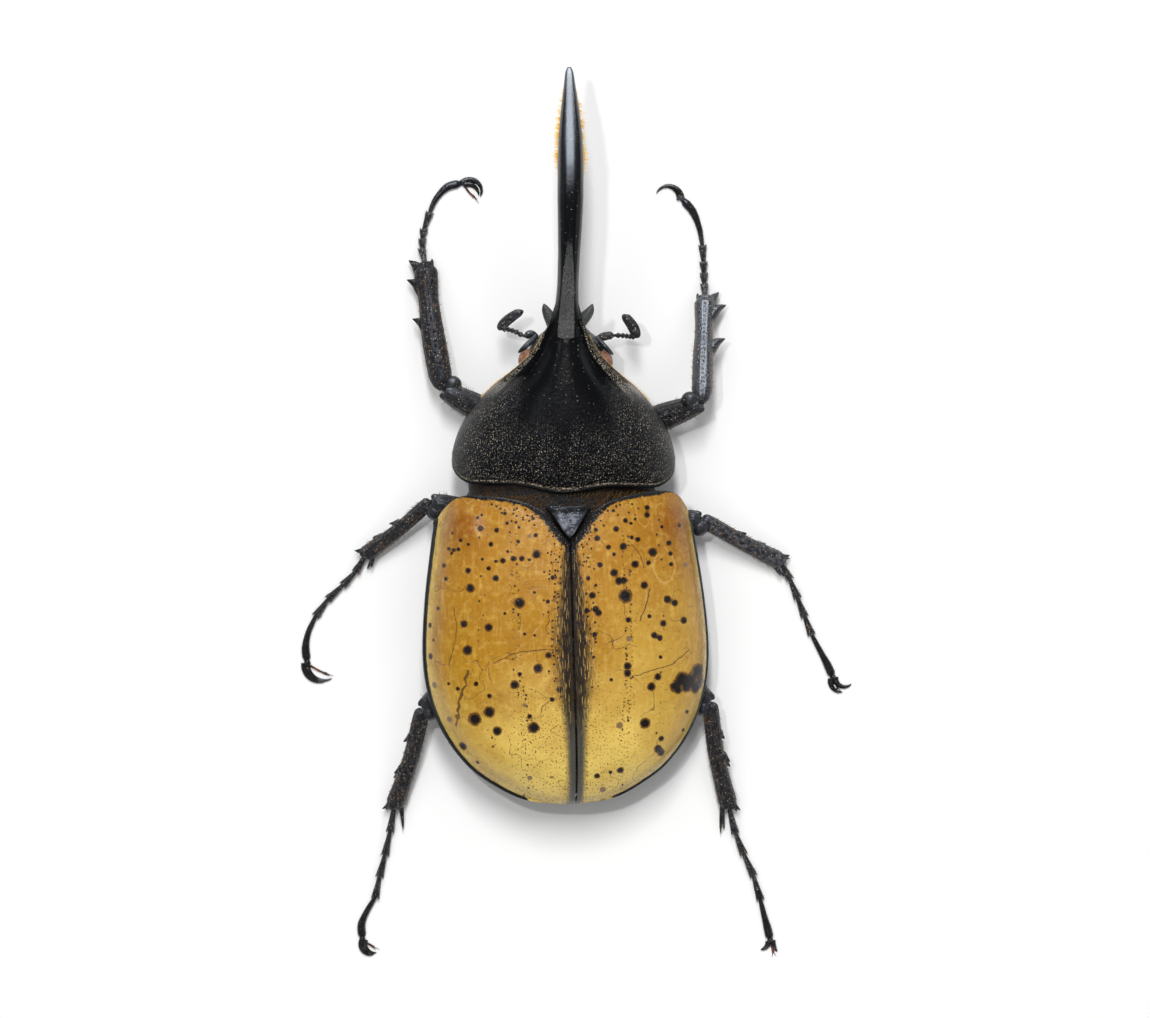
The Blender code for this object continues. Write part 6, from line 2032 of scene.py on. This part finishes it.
LEGS = (
    Leg(
        "front_left", Side.LEFT, 1.13, -0.3, (-17.5, 18.2),
        (-5.4, 10.4, 8.5), (-7.6, 11.6, 4.9), (-18.9, 17.4, 8.4), (-21.5, 35.4, 2.7),
        ((-21.9, 36.4, 2.1), (-21.95, 37.6, 1.8), (-21.9, 38.9, 1.5), (-21.7, 40.3, 1.3), (-20.9, 42.7, 1.1)),
        ((-20.0, 44.7, 0.8), (-18.4, 46.4, 0.56), (-16.5, 47.0, 0.46)),
        ((42, -165, 4.7, 0.0, 0.0), (20, -110, 3.2, 0.05, 0.35)),
        ((0.7, 1.1, 0.1),),
        teeth=((1.05, 2.25), (0.9, 2.9), (0.59, 2.9)),
        shine=0.2,
        empodium=((-15.46, 46.01, 0.6), (-14.32, 44.87, 0.5)),
    ),
    Leg(
        "front_right", Side.RIGHT, 1.0, 0.0, (16.3, 15.9),
        (3.3, 10.4, 8.5), (6.2, 11.3, 4.9), (18.0, 15.5, 12.2), (18.5, 30.6, 2.9),
        ((18.5, 31.3, 2.1), (18.4, 32.5, 1.8), (18.35, 34.0, 1.5), (18.3, 35.6, 1.3), (18.15, 38.0, 1.1)),
        ((17.7, 40.6, 0.8), (16.8, 42.9, 0.56), (15.4, 44.6, 0.46)),
        ((95, 150, 5.0, 0.0, 0.0), (86, 138, 4.4, 0.05, -0.4)),
        ((0.7, 1.1, 0.1),),
        teeth=((1.06, 2.0), (0.94, 3.1), (0.62, 3.1)),
        # More bluish grey on the right legs: painted sheen.
        worn=0.3,
        polish=1.0,
        shine=1.0,
    ),
    Leg(
        "middle_left", Side.LEFT, 0.84, 0.25, (-20.0, 0.0),
        (-6.2, -3.2, 8.2), (-8.6, -2.2, 4.9), (-20.7, 1.5, 8.2), (-29.9, -6.0, 2.6),
        ((-29.9, -6.5, 2.2), (-31.4, -8.5, 1.8), (-33.2, -10.4, 1.5), (-35.3, -12.4, 1.2), (-37.1, -14.8, 1.0)),
        ((-38.2, -17.2, 0.72), (-38.6, -19.4, 0.56), (-38.4, -21.2, 0.46)),
        ((266, 126, 5.2, 0.0, 0.0), (262, 118, 4.9, 0.05, 0.45)),
        ((0.6, 2.0, 0.3), (1.7, 1.75, -0.5)),
        spines=((0.45, 0.75, 0.2), (0.72, 0.75, -0.1), (0.97, 0.9, 0.5), (0.99, 0.5, -0.3)),
        empodium=((-36.69, -22.66, 0.6), (-35.4, -23.23, 0.5)),
    ),
    Leg(
        "middle_right", Side.RIGHT, 0.92, 0.15, (17.7, -2.2),
        (3.6, -3.2, 8.0), (6.4, -2.7, 4.8), (18.0, -1.0, 7.7), (29.3, -7.1, 2.6),
        ((29.4, -7.3, 2.2), (30.6, -9.5, 1.8), (31.7, -12.2, 1.5), (32.7, -14.8, 1.2), (33.7, -17.4, 1.0)),
        ((35.0, -19.9, 0.72), (36.0, -21.8, 0.56), (36.7, -23.4, 0.46)),
        ((-105, 115, 3.0, 0.05, 0.35), (-95, 145, 3.3, 0.05, -0.35)),
        ((1.0, 1.8, 0.3), (2.0, 1.6, -0.5)),
        spines=((0.42, 0.75, 0.2), (0.67, 0.75, -0.1), (0.95, 0.9, 0.5), (0.99, 0.5, -0.3)),
        # More bluish grey on the right legs: painted sheen.
        worn=0.4,
    ),
    Leg(
        "hind_left", Side.LEFT, 0.95, 0.35, (-20.9, -28.6),
        (-5.0, -14.8, 7.9), (-7.6, -16.0, 4.7), (-21.8, -28.1, 8.2), (-25.9, -42.0, 2.6),
        ((-26.1, -42.4, 2.2), (-26.5, -45.6, 1.8), (-27.2, -48.9, 1.5), (-28.0, -52.0, 1.2), (-28.6, -55.0, 1.0)),
        ((-29.9, -57.2, 0.72), (-30.6, -59.0, 0.56), (-30.5, -60.8, 0.46)),
        ((-120, 135, 3.4, 0.0, 0.0), (-112, 128, 3.1, 0.05, -0.4)),
        ((3.1, 2.2, 0.2), (2.4, 1.7, -0.6)),
        spines=((0.28, 0.8, 0.2), (0.6, 0.8, 0.4), (0.66, 0.7, -0.3), (0.97, 1.0, 0.4), (0.99, 0.5, -0.4)),
        empodium=((-29.42, -61.84, 0.6), (-28.78, -62.26, 0.5)),
    ),
    Leg(
        "hind_right", Side.RIGHT, 0.95, 0.45, (18.2, -27.9),
        (2.8, -14.8, 7.5), (5.6, -15.8, 4.6), (19.2, -27.2, 7.7), (21.9, -42.0, 2.6),
        ((22.1, -42.4, 2.2), (22.8, -45.8, 1.8), (24.0, -48.8, 1.5), (25.4, -51.9, 1.2), (26.4, -55.3, 1.0)),
        ((26.9, -57.4, 0.72), (27.4, -59.3, 0.56), (27.8, -61.0, 0.46)),
        ((-92, -85, 1.8, 0.05, 0.3), (-82, 30, 1.8, 0.05, -0.3)),
        ((3.9, 1.9, 0.2), (3.7, 1.25, -0.6)),
        spines=((0.28, 0.6, 0.2), (0.5, 0.8, 0.4), (0.56, 0.7, -0.3), (0.97, 1.0, 0.4), (0.99, 0.5, -0.4)),
    ),
)


# ---- Studio


COOL: Place = (0.8, 0.88, 1.0)


class Use(Enum):
    """What a lamp does: it lights the beetle softly, or only shows as a bright window in its shiny shell."""

    LIGHT = "light"
    WINDOW = "window"


@dataclass(frozen=True)
class Lamp:
    """A rectangular light that faces the beetle."""

    name: str
    use: Use
    place: Place
    size: Pair
    power: float
    colour: Place = (1.0, 1.0, 1.0)

    def build(self) -> None:
        """Hangs the light."""
        data = bpy.data.lights.new(self.name, "AREA")
        data.shape = "RECTANGLE"
        data.size, data.size_y = self.size
        data.energy = self.power
        data.color = self.colour
        lamp = bpy.data.objects.new(self.name, data)
        lamp.location = self.place
        lamp.rotation_euler = (-Vector(self.place)).to_track_quat("-Z", "Y").to_euler()
        lamp.visible_glossy = self.use is Use.WINDOW
        lamp.visible_diffuse = self.use is Use.LIGHT
        bpy.context.scene.collection.objects.link(lamp)


@dataclass(frozen=True)
class Studio:
    """A pale floor, soft lights, an even sky and a camera straight above."""

    centre: Pair = (-0.25, 0.53)
    wide: float = 163.84
    camera_height: float = 3.0
    level: float = 0.012
    sky: float = 0.06
    floor_shade: float = 0.735
    lamps: tuple[Lamp, ...] = (
        Lamp("key", Use.LIGHT, (-0.15, 0.13, 1.2), (0.03, 0.03), 3.4),
        Lamp("front_key", Use.LIGHT, (-0.02, 0.36, 1.15), (0.1, 0.4), 10.0),
        Lamp("fill", Use.LIGHT, (0.0, 0.0, 1.6), (2.2, 2.2), 20.0),
        Lamp("window", Use.WINDOW, (0.0, -0.35, 1.25), (0.3, 0.15), 0.5),
        Lamp("front_window", Use.WINDOW, (-0.05, 0.76, 0.95), (0.8, 0.66), 10.0, COOL),
        Lamp("low_window", Use.WINDOW, (0.0, 1.18, 0.6), (1.6, 0.3), 16.0, COOL),
        Lamp("soft_window", Use.WINDOW, (-0.46, -0.53, 1.05), (0.24, 0.1), 0.16, COOL),
        Lamp("left_window", Use.WINDOW, (-1.1, 0.15, 0.5), (0.5, 0.9), 0.3, COOL),
        Lamp("right_window", Use.WINDOW, (1.1, 0.0, 0.5), (0.4, 0.8), 0.5, COOL),
    )

    def build(self) -> None:
        """Places the floor, the lights, the sky and the camera."""
        self.build_floor()
        for lamp in self.lamps:
            lamp.build()
        data = bpy.data.cameras.new("camera")
        data.sensor_width = SENSOR
        data.lens = SENSOR * (self.camera_height - self.level) / (self.wide * MM)
        data.clip_end = 10.0
        camera = bpy.data.objects.new("camera", data)
        camera.location = (self.centre[0] * MM, self.centre[1] * MM, self.camera_height)
        bpy.context.scene.collection.objects.link(camera)
        bpy.context.scene.camera = camera
        world = bpy.data.worlds.new("sky")
        world.use_nodes = True
        light = world.node_tree.nodes["Background"].inputs
        light["Color"].default_value, light["Strength"].default_value = (0.96, 0.98, 1.0, 1.0), self.sky
        bpy.context.scene.world = world
        bpy.context.scene.view_settings.view_transform = "Standard"

    def build_floor(self) -> None:
        """The pale floor."""
        paint = Paint("pale floor")
        half = 2000.0
        corners = np.array([(-half, -half, 0), (half, -half, 0), (half, half, 0), (-half, half, 0)], float)
        floor = make_piece("floor", Shape(corners, [(0, 1, 2, 3)]), Placing((0, 0, 0)))
        shade = self.floor_shade
        cloud = paint.noise(400.0, 2.0)
        colour = paint.mix(cloud, (shade, shade, shade, 1.0), (shade * 0.99, shade * 0.99, shade * 0.98, 1.0))
        floor.data.materials.append(paint.done(colour, 0.8))


HAIRS = {
    "brush": Hair("horn_brush", ORANGE_HAIR, 11, 20.0, 1.05, 0.07, 0.4, 0.25),
    "fringe": Hair("shield_fringe", GOLD_HAIR, 23, 90.0, 0.46, 0.035, 0.3, 0.25),
    "neck": Hair("neck_hair", BROWN_HAIR, 37, 26.0, 0.75, 0.04, 0.5, 0.3),
    "belly": Hair("breast_hair", BELLY_HAIR, 41, 5.0, 1.5, 0.045, 0.4, 0.35),
    "legs": Hair("leg_bristles", BRISTLE, 53, 2.6, 0.95, 0.05, 0.4, 0.2),
}


def main() -> None:
    """Builds every piece in order, the studio last."""
    logging.basicConfig(level=logging.INFO, format="%(name)s: %(message)s")
    shield = ShieldAndHorn()
    shield.build()
    shield.build_teeth()
    head = HeadAndHorn()
    head.build()
    head.build_eyes()
    head.build_mouth()
    for feeler in FEELERS:
        feeler.build()
    body = Body()
    body.cases.build()
    body.build_scutellum()
    body.build_breast()
    body.build_belly()
    for leg in LEGS:
        leg.build()
    HAIRS["brush"].grow([shield.brush()], Slot.HAIR)
    HAIRS["fringe"].grow([shield.fringe(side) for side in Side], Slot.HAIR)
    HAIRS["neck"].grow([body.neck_patch()], Slot.HAIR)
    HAIRS["belly"].grow([body.belly_patch()], Slot.HAIR)
    HAIRS["legs"].grow([patch for leg in LEGS for patch in leg.bristles()], Slot.HAIR)
    Studio().build()


if __name__ == "__main__":
    main()
